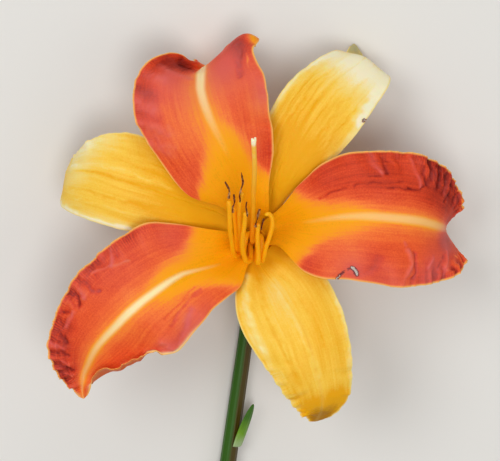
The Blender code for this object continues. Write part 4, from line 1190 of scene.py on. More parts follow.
    def relief(self, sizes):
        """The blade's fine forms as heights over its middle surface."""
        ends = within(RELIEF_START, RELIEF_END, self.along)
        slow = self.noise(self.run / SWELL_LENGTH, self.from_midrib / SWELL_WIDTH, SWELL_SEED)
        height = sizes.swell_height * slow * (SWELL_AT_MIDRIB + (1 - SWELL_AT_MIDRIB) * self.across**2)
        height += WAVE_HEIGHT * self.wave * (CALM + self.crimp) * self.near_margin(WAVE_REACH)
        height += sizes.crimp_height * self.pleat * self.crimp * self.near_margin(PLEAT_REACH)
        crepe = self.noise(self.margin_run / CREPE_LENGTH, self.margin / CREPE_LENGTH, CREPE_SEED)
        height += sizes.crinkle_height * crepe * self.crimp * self.near_margin(CREPE_REACH)
        return height * ends + self.fold_height

    def faces(self, sizes):
        """The upper and lower face of the blade."""
        height = self.relief(sizes)
        half = self.rim + (sizes.blade_thickness / 2 - self.rim) * bell(self.from_midrib, FLESH_WIDTH)
        edge = np.clip(np.minimum(np.minimum(self.margin, self.end), self.tear) / self.rim, 0, 1)
        half = half * np.sqrt(edge * (2 - edge))
        rib = within(RIB_START, RIB_END, self.along)
        raised = RIDGE_HEIGHT * self.in_band()
        groove = sizes.groove_depth * bell(self.from_midrib, GROOVE_WIDTH)
        keel = sizes.keel_height * bell(self.from_midrib, KEEL_WIDTH)
        outward = unit(np.gradient(self.places, axis=1)) * np.sign(self.across)[..., None]
        scallop = (SCALLOP * self.pleat + SCALLOP_WAVE * self.wave) * self.crimp
        places = self.places + outward * (scallop * self.near_margin(SCALLOP_REACH))[..., None]
        upper = height + half + (raised - groove) * rib
        lower = height - half - keel * rib
        return places + self.normals * upper[..., None], places + self.normals * lower[..., None]

    def half_band(self):
        """Half the width of the pale band over the midrib."""
        return line_across(self.blade["band"], self.along) * MM / 2

    def in_band(self):
        """1 in the pale band over the midrib and 0 beside it."""
        inner = np.maximum(self.half_band() - BAND_EDGE, 0)
        return smoothstep(self.half_band() + BAND_EDGE, inner, np.abs(self.from_midrib))

    def petal_tone(self):
        """0 in the golden throat, 1 in the red face and more where painted shade darkens creases and
        crimps; painted shade next to the tube takes it below 0.
        """
        places, sides = zip(*self.blade["gold"])
        border = on_blade(self.net, np.array(sides), np.array(places))
        past = np.sign(self.along - np.interp(self.across, places, sides))
        past *= distance_to_line(self.places, border)
        past += TONE_JITTER * self.streaks()
        edge = TONE_EDGE + TONE_EDGE_MIDRIB * bell(self.from_midrib, TONE_MIDRIB)
        red = smoothstep(-edge, edge, past)
        glow = GLOW * bell(self.from_midrib, np.interp(self.along, *zip(*GLOW_WIDTHS)))
        from_band = np.maximum(np.abs(self.from_midrib) - self.half_band(), 0)
        glow += FLANK_GLOW * bell(from_band, FLANK_WIDTH)
        # Painted shade in the crimps, over the margin's own deeper red.
        dark = (RIM_DARK * bell(self.margin, RIM_DARK_WIDTH) + self.valley_shade()) * self.crimp
        dark *= smoothstep(*RIM_CLEAR, self.margin)
        return red * (self.blade["redness"] - glow + dark) + self.fold_tone - self.painted_throat_shade()

    def valley_shade(self):
        """Painted shade in the valleys of a crimped margin, and painted highlight on its crests down to
        VALLEY_LIGHT.
        """
        depth = np.clip(-VALLEY_PLEAT * self.pleat - VALLEY_WAVE * self.wave, VALLEY_LIGHT, 1)
        return depth * self.near_margin(VALLEY_REACH)

    def streaks(self):
        """Noise in long streaks beside the midrib, from -1 to 1."""
        return self.noise(self.from_midrib / STREAK_WIDTH, self.run / STREAK_LENGTH, STREAK_SEED)

    def sepal_tone(self):
        """0 in the throat, 1 in the palest tissue and below 0 where the tip is brown; painted shade lowers
        it in valleys, creases and next to the tube.
        """
        grown = smoothstep(*SEPAL_FADE, self.along)
        sides = SEPAL_SIDES * smoothstep(SHOULDER, 1, np.abs(self.across))
        line = MIDRIB_LINE * bell(self.from_midrib, MIDRIB_LINE_WIDTH)
        # Painted shade in the crimp valleys.
        dark = SEPAL_VALLEY_SHADE * self.valley_shade() * self.crimp
        pale = self.blade["redness"] + sides + SEPAL_STREAKS * self.streaks() - line - dark
        return pale * grown + self.fold_tone - self.painted_throat_shade()

    def painted_throat_shade(self):
        """How much painted shade turns the tissue olive next to the tube, deep in the throat."""
        return THROAT_SHADE * smoothstep(*THROAT_SHADE_END, self.along)


def build_blade(name, blade, tone, finish, slot, rows, columns, sizes):
    """A petal or sepal as one closed sheet, whose outer face has fewer columns than its inner one."""
    shape = BladeShape(blade, rows, columns, sizes)
    upper, lower = shape.faces(sizes)
    torn = shape.tear <= 0
    kept = (np.arange(columns + 1) % UNDER_STEP == 0) | torn.any(axis=0)
    kept[:len(RIM_STEPS)] = True
    kept[-len(RIM_STEPS):] = True

    def both(top, bottom):
        return wrapped(top, bottom[:, kept])

    pattern = paired(shape.across * PATTERN_HALF_WIDTH, shape.run / MM)
    torn_edge = np.exp(-np.maximum(shape.tear, 0) / TEAR_EDGE) * (shape.tear < shape.rim)
    pale_rim = shape.stretches("pale_rims") * bell(shape.margin, PALE_RIM_WIDTH)
    cream = np.maximum(line_across(blade["cream"], shape.along) * shape.in_band(), pale_rim)
    from_rim = shape.margin / MM + RIM_BAND * smoothstep(*RIM_START[::-1], shape.along)
    facts = {"pigment": tone(shape), "sheen_and_nub": shape.sheen_and_nub, "cream": cream, "margin": from_rim,
             "torn": torn_edge}
    marks = {mark: both(values, values) for mark, values in facts.items()}
    marks["under"] = both(np.zeros_like(shape.along), np.ones_like(shape.along))
    piece = closed_piece(f"{name}_blade", both(upper, lower), both(pattern, pattern), marks, finish,
                         both(torn, torn))
    stand_for(piece, name)


def build_ring(kind, *facts):
    """Builds the three blades of a kind, petal or sepal."""
    for name, blade in BLADES.items():
        if name.startswith(kind):
            build_blade(name, blade, *facts)


def varied(tree, tone, patterns):
    """The tone with the patterns added, each at its strength and centred on 0."""
    for pattern, strength in patterns:
        centred = add_node(tree, "ShaderNodeMath", {0: pattern.outputs["Fac"], 1: 0.5},
                           operation="SUBTRACT")
        added = add_node(tree, "ShaderNodeMath", {0: centred.outputs[0], 1: strength, 2: tone},
                         operation="MULTIPLY_ADD")
        tone = added.outputs[0]
    return tone


def blade_tissue(name, stops, sheen_and_nub, band, rim, under, torn, gloss, grain):
    """Living petal or sepal tissue: a moist skin of domed cells over lengthwise veins.

    stops are tones with their colours. The mark pigment picks between them, and
    veins, streaks, cells and blotches vary it, by the share grain of their full
    strength; pigment also carries painted shade in creases, crimp valleys and the
    throat, and painted highlight on ridges. Over it lie a painted pinkish sheen on a
    petal's ridges and margins (on a sepal this layer is the dry nub at its tip), the
    midrib's pale band, the thin pale rim, the duller outer face and the dried edge
    of a tear.
    """
    made, tree, skin = new_material(name)
    low, high = stops[0][0], stops[-1][0]
    marks = {}
    for mark in ("pigment", "sheen_and_nub", "cream", "margin", "under", "torn"):
        marks[mark] = add_node(tree, "ShaderNodeAttribute", attribute_name=mark).outputs["Fac"]
    in_blade = add_node(tree, "ShaderNodeUVMap", uv_map="UVMap").outputs["UV"]
    in_space = add_node(tree, "ShaderNodeTexCoord").outputs["Object"]

    # Veins run from the throat to the tip, about 0.8 mm apart, and streaks of
    # pigment 0.3 mm wide lie between them: they give the face its fine lines.
    along_veins = add_node(tree, "ShaderNodeMapping", {"Vector": in_blade, "Scale": VEIN_SCALE})
    veins = add_node(tree, "ShaderNodeTexNoise", {"Vector": along_veins.outputs["Vector"], "Scale": 1.0,
                                                 "Detail": 1.0})
    along_streaks = add_node(tree, "ShaderNodeMapping", {"Vector": in_blade, "Scale": STREAK_SCALE})
    streaks = add_node(tree, "ShaderNodeTexNoise", {"Vector": along_streaks.outputs["Vector"], "Scale": 1.0,
                                                   "Detail": 3.0})

    # The pigment cells make the colour grainy, and it drifts over some millimetres.
    cells = add_node(tree, "ShaderNodeTexNoise", {"Vector": in_space, "Scale": 1 / CELL_SIZE,
                                                 "Detail": 2.0})
    blotches = add_node(tree, "ShaderNodeTexNoise", {"Vector": in_space, "Scale": 1 / BLOTCH_SIZE,
                                                    "Detail": 3.0})
    patterns = ((veins, VEIN_STRENGTH * grain), (streaks, STREAK_STRENGTH * grain),
                (cells, CELL_STRENGTH * grain), (blotches, BLOTCH_STRENGTH * grain))
    tone = varied(tree, marks["pigment"], patterns)
    share = add_node(tree, "ShaderNodeMapRange", {"Value": tone, "From Min": low, "From Max": high})
    ramp = [((position - low) / (high - low), colour) for position, colour in stops]
    face = add_node(tree, "ShaderNodeValToRGB", {"Fac": share.outputs["Result"]}, ramp).outputs["Color"]

    # The margin's last 0.85 mm is thin and catches the light, most of all at its edge.
    at_rim = add_node(tree, "ShaderNodeMapRange", {"Value": marks["margin"], "From Min": RIM_BAND,
                                                  "From Max": 0.0, "To Max": RIM_SHARE},
                      interpolation_type="SMOOTHSTEP")
    outside = add_node(tree, "ShaderNodeMath", {0: marks["under"], 1: UNDER_SHARE}, operation="MULTIPLY")
    for layer, colour in ((marks["sheen_and_nub"], sheen_and_nub), (marks["cream"], band), (at_rim.outputs["Result"], rim),
                          (outside.outputs[0], under), (marks["torn"], torn)):
        laid = add_node(tree, "ShaderNodeMix", {MIX_SHARE: layer, MIX_FIRST: face,
                                               MIX_SECOND: (*colour, 1)}, data_type="RGBA")
        face = laid.outputs[MIX_RESULT]
    tree.links.new(face, skin.inputs["Base Color"])

    # Raised flesh over the veins, and the domed cells that make the skin satin. The
    # cells are drawn at about half a millimetre, as real ones are too fine to show.
    normal = None
    for pattern, height in ((veins, VEIN_HEIGHT), (streaks, STREAK_HEIGHT), (cells, CELL_HEIGHT)):
        inputs = {"Height": pattern.outputs["Fac"], "Strength": 1.0, "Distance": height}
        if normal:
            inputs["Normal"] = normal
        normal = add_node(tree, "ShaderNodeBump", inputs).outputs["Normal"]
    tree.links.new(normal, skin.inputs["Normal"])
    wet = add_node(tree, "ShaderNodeMapRange", {"Value": blotches.outputs["Fac"], "From Min": GLOSS_FROM,
                                               "From Max": GLOSS_TO, "To Min": gloss - GLOSS_SPREAD,
                                               "To Max": gloss + GLOSS_SPREAD})
    tree.links.new(wet.outputs["Result"], skin.inputs["Roughness"])
    skin.inputs["IOR"].default_value = 1.4
    skin.inputs["Specular IOR Level"].default_value = 0.2
    skin.inputs["Subsurface Weight"].default_value = 0.25
    skin.inputs["Subsurface Radius"].default_value = (1.0, 0.4, 0.12)
    skin.inputs["Subsurface Scale"].default_value = 0.6 * MM
    return made


def petal_tissue(colours):
    """A petal's velvety face: gold in the throat, then coral and red, and darkest where painted shade lies
    in its crimps and creases, with painted olive shade next to the tube.
    """
    stops = [(-0.4, colours.throat_shade_olive), (0, colours.throat_gold), (0.3, colours.petal_amber),
             (0.6, colours.petal_orange), (0.85, colours.petal_coral), (1.1, colours.petal_red),
             (1.5, colours.petal_deep_red_and_shade), (2.0, colours.petal_crease_shade)]
    return blade_tissue("daylily_petal_tissue", stops, colours.petal_sheen_rose, colours.petal_band,
                        colours.petal_rim, colours.petal_under, colours.torn_tissue,
                        gloss=0.5, grain=1)


def sepal_tissue(colours):
    """A sepal's satin face: gold in the throat, then clear yellow and cream, with a dry nub at its tip."""
    stops = [(-0.8, colours.sepal_tip), (-0.1, colours.sepal_base),
             (0.35, colours.sepal_gold), (0.65, colours.sepal_yellow), (1.0, colours.sepal_pale),
             (1.4, colours.sepal_white)]
    return blade_tissue("daylily_sepal_tissue", stops, colours.sepal_nub, colours.sepal_pale,
                        colours.sepal_pale, colours.sepal_under, colours.torn_tissue,
                        gloss=0.52, grain=SEPAL_GRAIN)


def smooth_tissue(name, stops, gloss, line_spacing, line_height, flesh):
    """Fleshy plant tissue in a tube, strand or leaf: mark tone picks its colour between the stops.

    Fine lines run along it, and a faint mottle keeps it from looking painted.
    gloss is its roughness, and flesh is how far light passes into it.
    """
    made, tree, skin = new_material(name)
    tone = add_node(tree, "ShaderNodeAttribute", attribute_name="tone").outputs["Fac"]
    on_skin = add_node(tree, "ShaderNodeUVMap", uv_map="UVMap").outputs["UV"]
    in_space = add_node(tree, "ShaderNodeTexCoord").outputs["Object"]
    stretched = add_node(tree, "ShaderNodeMapping", {"Vector": on_skin,
                                                     "Scale": (MM / line_spacing, LINE_RATE, 1)})
    lines = add_node(tree, "ShaderNodeTexNoise", {"Vector": stretched.outputs["Vector"], "Scale": 1.0,
                                                 "Detail": 3.0, "Roughness": 0.6})
    mottle = add_node(tree, "ShaderNodeTexNoise", {"Vector": in_space, "Scale": 1 / MOTTLE_SIZE,
                                                  "Detail": 4.0})
    tone = varied(tree, tone, ((lines, LINE_STRENGTH), (mottle, LINE_STRENGTH)))
    face = add_node(tree, "ShaderNodeValToRGB", {"Fac": tone}, stops)
    tree.links.new(face.outputs["Color"], skin.inputs["Base Color"])
    bumped = add_node(tree, "ShaderNodeBump", {"Height": lines.outputs["Fac"], "Strength": 1.0,
                                              "Distance": line_height})
    bumped = add_node(tree, "ShaderNodeBump", {"Height": mottle.outputs["Fac"], "Strength": 1.0,
                                              "Distance": line_height, "Normal": bumped.outputs["Normal"]})
    tree.links.new(bumped.outputs["Normal"], skin.inputs["Normal"])
    skin.inputs["Roughness"].default_value = gloss
    skin.inputs["IOR"].default_value = 1.4
    skin.inputs["Specular IOR Level"].default_value = 0.4
    skin.inputs["Subsurface Weight"].default_value = flesh
    skin.inputs["Subsurface Radius"].default_value = (1.0, 0.5, 0.15)
    skin.inputs["Subsurface Scale"].default_value = 1.0 * MM
    return made


def dried_anther(colours):
    """The dried wall of an opened anther, crumpled and matte, with rusty pollen left on it.

    The wall is dark brown where it has shrunk and lighter where pollen clings.
    """
    made, tree, skin = new_material("daylily_dried_anther")
    pollen = add_node(tree, "ShaderNodeAttribute", attribute_name="pollen").outputs["Fac"]
    in_space = add_node(tree, "ShaderNodeTexCoord").outputs["Object"]
    grains = add_node(tree, "ShaderNodeTexNoise", {"Vector": in_space, "Scale": 1 / GRAIN_SIZE,
                                                  "Detail": 3.0})
    share = add_node(tree, "ShaderNodeMath", {0: grains.outputs["Fac"], 1: GRAIN_STRENGTH, 2: pollen},
                     operation="MULTIPLY_ADD")
    stops = [(0.35, colours.pollen_dark), (0.9, colours.pollen_light)]
    face = add_node(tree, "ShaderNodeValToRGB", {"Fac": share.outputs[0]}, stops)
    tree.links.new(face.outputs["Color"], skin.inputs["Base Color"])
    bumped = add_node(tree, "ShaderNodeBump", {"Height": grains.outputs["Fac"], "Strength": 1.0,
                                              "Distance": GRAIN_HEIGHT})
    tree.links.new(bumped.outputs["Normal"], skin.inputs["Normal"])
    skin.inputs["Roughness"].default_value = 0.8
    skin.inputs["Specular IOR Level"].default_value = 0.15
    return made


def table_top(colours):
    """Matte painted board: even and pale, with a barely seen roller texture."""
    made, tree, skin = new_material("painted_table_top")
    in_space = add_node(tree, "ShaderNodeTexCoord").outputs["Object"]
    roller = add_node(tree, "ShaderNodeTexNoise", {"Vector": in_space, "Scale": 1 / ROLLER_SIZE,
                                                  "Detail": 2.0})
    bumped = add_node(tree, "ShaderNodeBump", {"Height": roller.outputs["Fac"], "Strength": 1.0,
                                              "Distance": ROLLER_HEIGHT})
    tree.links.new(bumped.outputs["Normal"], skin.inputs["Normal"])
    skin.inputs["Base Color"].default_value = (*colours.table_pale, 1)
    skin.inputs["Roughness"].default_value = 0.75
    return made


def rounded_ends(spine, radius):
    """Shares along a spine, crowded at both ends, and the half rounds that close a strand there."""
    length = run_along(spine)[-1]
    turn = np.linspace(0, math.pi / 2, ROUND_STEPS + 1)
    start = radius * (1 - np.cos(turn)) / length
    inner = np.linspace(start[-1], 1 - start[-1], len(spine))[1:-1]
    shares = np.concatenate([start, inner, 1 - start[::-1]])
    closing = np.concatenate([np.sin(turn), np.ones(len(inner)), np.sin(turn)[::-1]])
    return shares, closing


def along_spine(spine, shares):
    """Places along a spine of close points, at shares of its length."""
    run = run_along(spine)
    return np.stack([np.interp(shares * run[-1], run, spine[:, axis]) for axis in range(3)], axis=1)


def closing_spine(path, rows, fine_rows, radius):
    """A spine along path, with its shares and with how far the strand is closed at each."""
    shares, closing = rounded_ends(smooth_path(path, rows), radius)
    return along_spine(smooth_path(path, fine_rows), shares), shares, closing


class DAYLILY_OT_petals(bpy.types.Operator):
    """Builds the three ruffled petals over their own guide points"""

    bl_idname = "daylily.petals"
    bl_label = "Petals"

    def execute(self, context):
        sizes, colours = context.scene.daylily_sizes, context.scene.daylily_colours
        finish = petal_tissue(colours)
        build_ring("petal", BladeShape.petal_tone, finish, "petal_red", *PETAL_GRID, sizes)
        return {"FINISHED"}


class DAYLILY_OT_sepals(bpy.types.Operator):
    """Builds the three plain sepals that lie under the petals"""

    bl_idname = "daylily.sepals"
    bl_label = "Sepals"

    def execute(self, context):
        sizes, colours = context.scene.daylily_sizes, context.scene.daylily_colours
        finish = sepal_tissue(colours)
        build_ring("sepal", BladeShape.sepal_tone, finish, "sepal_yellow", *SEPAL_GRID, sizes)
        return {"FINISHED"}


class DAYLILY_OT_tube(bpy.types.Operator):
    """Builds the hollow tube that the petals and sepals grow from"""

    bl_idname = "daylily.tube"
    bl_label = "Tube"

    def execute(self, context):
        colours = context.scene.daylily_colours
        foot = [(WAIST_OUTER, TUBE_LENGTH), (WAIST_INNER, TUBE_LENGTH)]
        outside = smooth_path([(MOUTH_OUTER, 0)] + TUBE_OUTSIDE + foot[:1], TUBE_ROWS)
        inside = smooth_path(foot[1:] + TUBE_INSIDE + [(MOUTH_INNER, 0)], TUBE_ROWS)
        profile = np.concatenate([outside, inside, outside[:1]])
        turn = full_turn(TUBE_AROUND)
        seams = TUBE_SEAM * np.abs(np.cos(ORDER * turn)) ** SEAM_SHARPNESS
        depth = profile[:, 1:]
        faded = np.sin(np.pi * np.clip(depth / TUBE_LENGTH, 0, 1))
        outer = np.arange(len(profile))[:, None] < TUBE_ROWS
        radius = profile[:, :1] - seams * faded * outer
        tilt = np.array(Matrix.Rotation(-TUBE_TILT, 3, "X"))
        local = np.stack([radius * np.cos(turn), radius * np.sin(turn),
                          np.broadcast_to(-depth, radius.shape)], axis=2)
        places = local @ tilt.T + np.array(MOUTH)
        tone = np.broadcast_to(depth / TUBE_LENGTH, radius.shape)
        pattern = paired(turn * WAIST_OUTER / MM, depth / MM)
        stops = [(0.1, colours.throat_gold), (0.35, colours.tube_yellow), (0.6, colours.tube_yellow),
                 (1, colours.tube_green)]
        finish = smooth_tissue("daylily_tube_tissue", stops, gloss=0.5, line_spacing=0.5 * MM,
                               line_height=0.03 * MM, flesh=0.15)
        piece = closed_piece("perianth_tube_wall", places, pattern, {"tone": tone}, finish)
        stand_for(piece, "perianth_tube")
        return {"FINISHED"}


class DAYLILY_OT_stamens(bpy.types.Operator):
    """Builds the six filaments and the dried anthers on their tips"""

    bl_idname = "daylily.stamens"
    bl_label = "Stamens"

    def filament(self, number, stamen, finish, sizes):
        start = ring_point(stamen["azimuth"], FILAMENT_RING, -FILAMENT_DEPTH)
        leave = ring_point(stamen["azimuth"], FILAMENT_RING, -FILAMENT_EXIT)
        path = [tuple(start), tuple(leave)] + in_metres(stamen["filament"])
        spine, shares, closing = closing_spine(path, STRAND_ROWS, FINE_ROWS, sizes.filament_tip_radius)
        girth = sizes.filament_radius + (sizes.filament_tip_radius - sizes.filament_radius) * shares
        hills = noise_over(shares * FILAMENT_HILLS, shares * 0 + number, FILAMENT_SEED)
        radii = girth * (1 + FILAMENT_UNEVEN * hills) * closing
        places = strand(spine, radii[:, None], STRAND_AROUND)
        turn = np.linspace(0, 1, STRAND_AROUND + 1) * 2 * math.pi
        pattern = paired(turn * (radii.max() / MM), run_along(spine)[:, None] / MM)
        tone = np.broadcast_to(shares[:, None], places.shape[:2])
        name = f"filament_{number}"
        piece = closed_piece(f"{name}_thread", places, pattern, {"tone": tone}, finish)
        stand_for(piece, name)

    def anther(self, number, stamen, finish, grain, sizes):
        path = in_metres(stamen["anther"])
        spine, shares, closing = closing_spine(path, STRAND_ROWS, FINE_ROWS, sizes.anther_radius)
        turn = full_turn(ANTHER_AROUND)
        twist = ANTHER_TWIST * shares[:, None]
        lobes = 1 + ANTHER_LOBE * np.cos(2 * (turn + twist))
        run = run_along(spine)[:, None]
        place = shares[:, None] * run[-1] / BEAD_LENGTH
        beads = noise_over(place + turn * 0, np.cos(turn) * BEAD_ROUND + number, BEAD_SEED)
        swell = noise_over(place / SWELL_BEADS, place * 0 + number, SHRINK_SEED)
        radii = sizes.anther_radius * closing[:, None] * lobes
        radii = radii * (1 + ANTHER_BEADS * beads + ANTHER_SWELL * swell)
        places = strand(spine, radii, ANTHER_AROUND)
        pattern = paired(turn, run / MM)
        name = f"anther_{number}"
        bare = np.clip(BEAD_POLLEN * beads + SWELL_POLLEN * swell, *POLLEN_RANGE)
        piece = closed_piece(f"{name}_dried", places, pattern, {"pollen": bare}, finish)
        self.dust(piece, places, grain, number)
        stand_for(piece, name)

    def dust(self, piece, places, grain, number):
        """Sets clumps of pollen on the anther's wall, each a copy of one small grain."""
        random = np.random.default_rng(POLLEN_SEED + number)
        rows = random.integers(POLLEN_FREE, places.shape[0] - POLLEN_FREE, POLLEN_CLUMPS)
        columns = random.integers(0, places.shape[1] - 1, POLLEN_CLUMPS)
        clump_sizes = random.uniform(*POLLEN_SIZES, POLLEN_CLUMPS)
        whole = bmesh.new()
        whole.from_mesh(piece.data)
        pollen = whole.verts.layers.float["pollen"]
        for row, column, size in zip(rows, columns, clump_sizes):
            known = len(whole.verts)
            whole.from_mesh(grain)
            whole.verts.ensure_lookup_table()
            added = whole.verts[known:]
            place = BLOOM_TO_TABLE @ Vector(places[row, column])
            placed = Matrix.Translation(place) @ Matrix.Scale(size, 4)
            bmesh.ops.transform(whole, matrix=placed, verts=added)
            for vertex in added:
                vertex[pollen] = POLLEN_TONE
        whole.to_mesh(piece.data)
        whole.free()
        piece.data.shade_smooth()

    def execute(self, context):
        sizes, colours = context.scene.daylily_sizes, context.scene.daylily_colours
        stops = [(0, colours.throat_gold), (0.5, colours.filament_orange), (1, colours.filament_orange)]
        golden = smooth_tissue("daylily_filament_tissue", stops, gloss=0.45, line_spacing=0.3 * MM,
                               line_height=0.02 * MM, flesh=0.75)
        dried = dried_anther(colours)
        deselect_all()
        bpy.ops.mesh.primitive_ico_sphere_add(subdivisions=1, radius=sizes.pollen_radius)
        pattern_grain = bpy.context.object
        grain = pattern_grain.data.copy()
        bpy.data.objects.remove(pattern_grain, do_unlink=True)
        for number, stamen in enumerate(STAMENS, 1):
            self.filament(number, stamen, golden, sizes)
            self.anther(number, stamen, dried, grain, sizes)
        bpy.data.meshes.remove(grain)
        return {"FINISHED"}


class DAYLILY_OT_pistil(bpy.types.Operator):
    """Builds the ovary in the tube, the long style and its three-lobed stigma"""

    bl_idname = "daylily.pistil"
    bl_label = "Pistil"

    def execute(self, context):
        sizes, colours = context.scene.daylily_sizes, context.scene.daylily_colours
        foot = MOUTH - tube_axis() * (TUBE_LENGTH - SEAT_GAP)
        top = foot + tube_axis() * OVARY_LENGTH
        straight = MOUTH - tube_axis() * STYLE_DEPTH
        path = [tuple(foot), tuple(top), tuple(straight), tuple(MOUTH)] + in_metres(STYLE_PATH)
        spine, shares, closing = closing_spine(path, PISTIL_ROWS, PISTIL_FINE_ROWS, STIGMA_END)
        length = run_along(smooth_path(path, PISTIL_FINE_ROWS))[-1]
        run = shares * length
        ovary = np.interp(run, *zip(*OVARY_PROFILE))
        left = length - run
        head = sizes.stigma_radius * smoothstep(*STIGMA_WIDER, left)
        style = np.maximum(sizes.style_radius, head)
        girth = np.where(run < OVARY_LENGTH, ovary, style) * closing
        turn = full_turn(PISTIL_AROUND)
        lobed = smoothstep(*STIGMA_LOBED, left)[:, None]
        fuzz = noise_over(turn * FUZZ_ROUND + 0 * lobed, left[:, None] / FUZZ_LENGTH + 0 * turn, FUZZ_SEED)
        crown = np.cos(ORDER * turn + STIGMA_TURN)
        radii = girth[:, None] * (1 + lobed * (STIGMA_LOBE * crown + FUZZ_HEIGHT * fuzz))
        places = strand(spine, radii, PISTIL_AROUND)
        ahead = unit(spine[-1] - spine[-STIGMA_ROWS])
        uneven = 1 + LOBE_UNEVEN * np.cos(turn + LOBE_PHASE)
        lobes = lobed**2 * np.clip(crown, 0, 1) ** 2 * uneven * smoothstep(0, LOBE_ROOT, closing)[:, None]
        places = places + ahead * (sizes.stigma_lobe * lobes)[..., None]
        tone = STYLE_TONE * smoothstep(*STYLE_YELLOWER, left)
        tone = tone + (1 - STYLE_TONE) * smoothstep(*STIGMA_PALER, left)
        tone = np.broadcast_to(tone[:, None], radii.shape)
        pattern = paired(turn * sizes.style_radius / MM, run[:, None] / MM)
        stops = [(0, colours.style_gold), (STYLE_TONE, colours.style_yellow), (1, colours.style_cream)]
        finish = smooth_tissue("daylily_style_tissue", stops, gloss=0.45, line_spacing=0.3 * MM,
                               line_height=0.02 * MM, flesh=0.4)
        piece = closed_piece("pistil_with_stigma", places, pattern, {"tone": tone}, finish)
        stand_for(piece, "pistil")
        return {"FINISHED"}


class DAYLILY_OT_stem(bpy.types.Operator):
    """Builds the ribbed stem, from its flared top behind the tube to its cut end"""

    bl_idname = "daylily.stem"
    bl_label = "Stem"

    def execute(self, context):
        sizes, colours = context.scene.daylily_sizes, context.scene.daylily_colours
        top = MOUTH - tube_axis() * (TUBE_LENGTH + SEAT_GAP)
        neck = top - tube_axis() * STEM_NECK
        fine = smooth_path([tuple(top), tuple(neck)] + in_metres(STEM_PATH), STEM_ROWS)
        share = np.linspace(0, 1, STEM_ROWS)
        grown = smoothstep(*STEM_GROWTH, share)
        girth = sizes.pedicel_radius + (sizes.stem_radius - sizes.pedicel_radius) * grown
        girth += (WAIST_OUTER - sizes.pedicel_radius) * smoothstep(STEM_FLARE, 0, share)
        turn = full_turn(STEM_AROUND)
        ribs = np.cos(STEM_RIBS * turn) * smoothstep(*STEM_RIB_START, share)[:, None]
        hills = paired(share[:, None] * STEM_HILLS, STEM_HILLS_ROUND * np.cos(turn) + STEM_HILLS_START)
        uneven = noise_over(hills[..., 0], hills[..., 1], STEM_SEED)
        skin = girth[:, None] + sizes.stem_rib * ribs + STEM_UNEVEN * uneven
        caps = np.array(CUT_STEPS)[:, None]
        radii = np.concatenate([skin[:1] * caps[::-1], skin, skin[-1:] * caps])
        spine = np.concatenate([np.repeat(fine[:1], len(caps), axis=0), fine,
                                np.repeat(fine[-1:], len(caps), axis=0)])
        ahead = unit(np.gradient(fine, axis=0))[-1]
        spine[-len(caps):] -= ahead * CUT_DISH * (1 - caps**2)
        places = self.skin_places(fine, spine, radii, len(caps))
        brown = self.brown_right_side(places, spine)
        cut = np.zeros_like(radii)
        cut[-len(caps):] = 1 - caps
        pattern = paired(turn * sizes.stem_radius / MM, run_along(spine)[:, None] / MM)
        marks = {"tone": brown, "cut": cut}
        piece = closed_piece("stem_skin", places, pattern, marks, self.finish(colours))
        stand_for(piece, "stem")
        return {"FINISHED"}

    def skin_places(self, fine, spine, radii, caps):
        """The stem's rings, where the rings of a cap face as the nearest ring of the skin."""
        rings = strand(fine, np.ones((len(fine), STEM_AROUND + 1)), STEM_AROUND) - fine[:, None]
        rings = np.concatenate([np.repeat(rings[:1], caps, axis=0), rings,
                                np.repeat(rings[-1:], caps, axis=0)])
        return spine[:, None] + rings * radii[..., None]

    def brown_right_side(self, places, spine):
        """0 on the green side and 1 on the darker brown side, to the right of the stem."""
        outward = unit(places - spine[:, None] + 1e-9)
        return smoothstep(*STEM_BROWN_SIDE, outward[..., 0])

    def finish(self, colours):
        """A waxy green skin with fine ribs, and a pale spongy pith in the cut."""
        stops = [(0.15, colours.stem_green), (0.85, colours.stem_brown)]
        made = smooth_tissue("daylily_stem_skin", stops, gloss=0.42, line_spacing=0.5 * MM,
                             line_height=0.05 * MM, flesh=0.08)
        tree = made.node_tree
        skin = tree.nodes["Principled BSDF"]
        face = skin.inputs["Base Color"].links[0].from_socket
        cut = add_node(tree, "ShaderNodeAttribute", attribute_name="cut").outputs["Fac"]
        pith = add_node(tree, "ShaderNodeMapRange", {"Value": cut, "From Min": PITH_EDGE[0],
                                                    "From Max": PITH_EDGE[1]})
        face = add_node(tree, "ShaderNodeMix", {MIX_SHARE: pith.outputs["Result"], MIX_FIRST: face,
                                               MIX_SECOND: (*colours.stem_pith, 1)}, data_type="RGBA")
        tree.links.new(face.outputs[MIX_RESULT], skin.inputs["Base Color"])
        return made


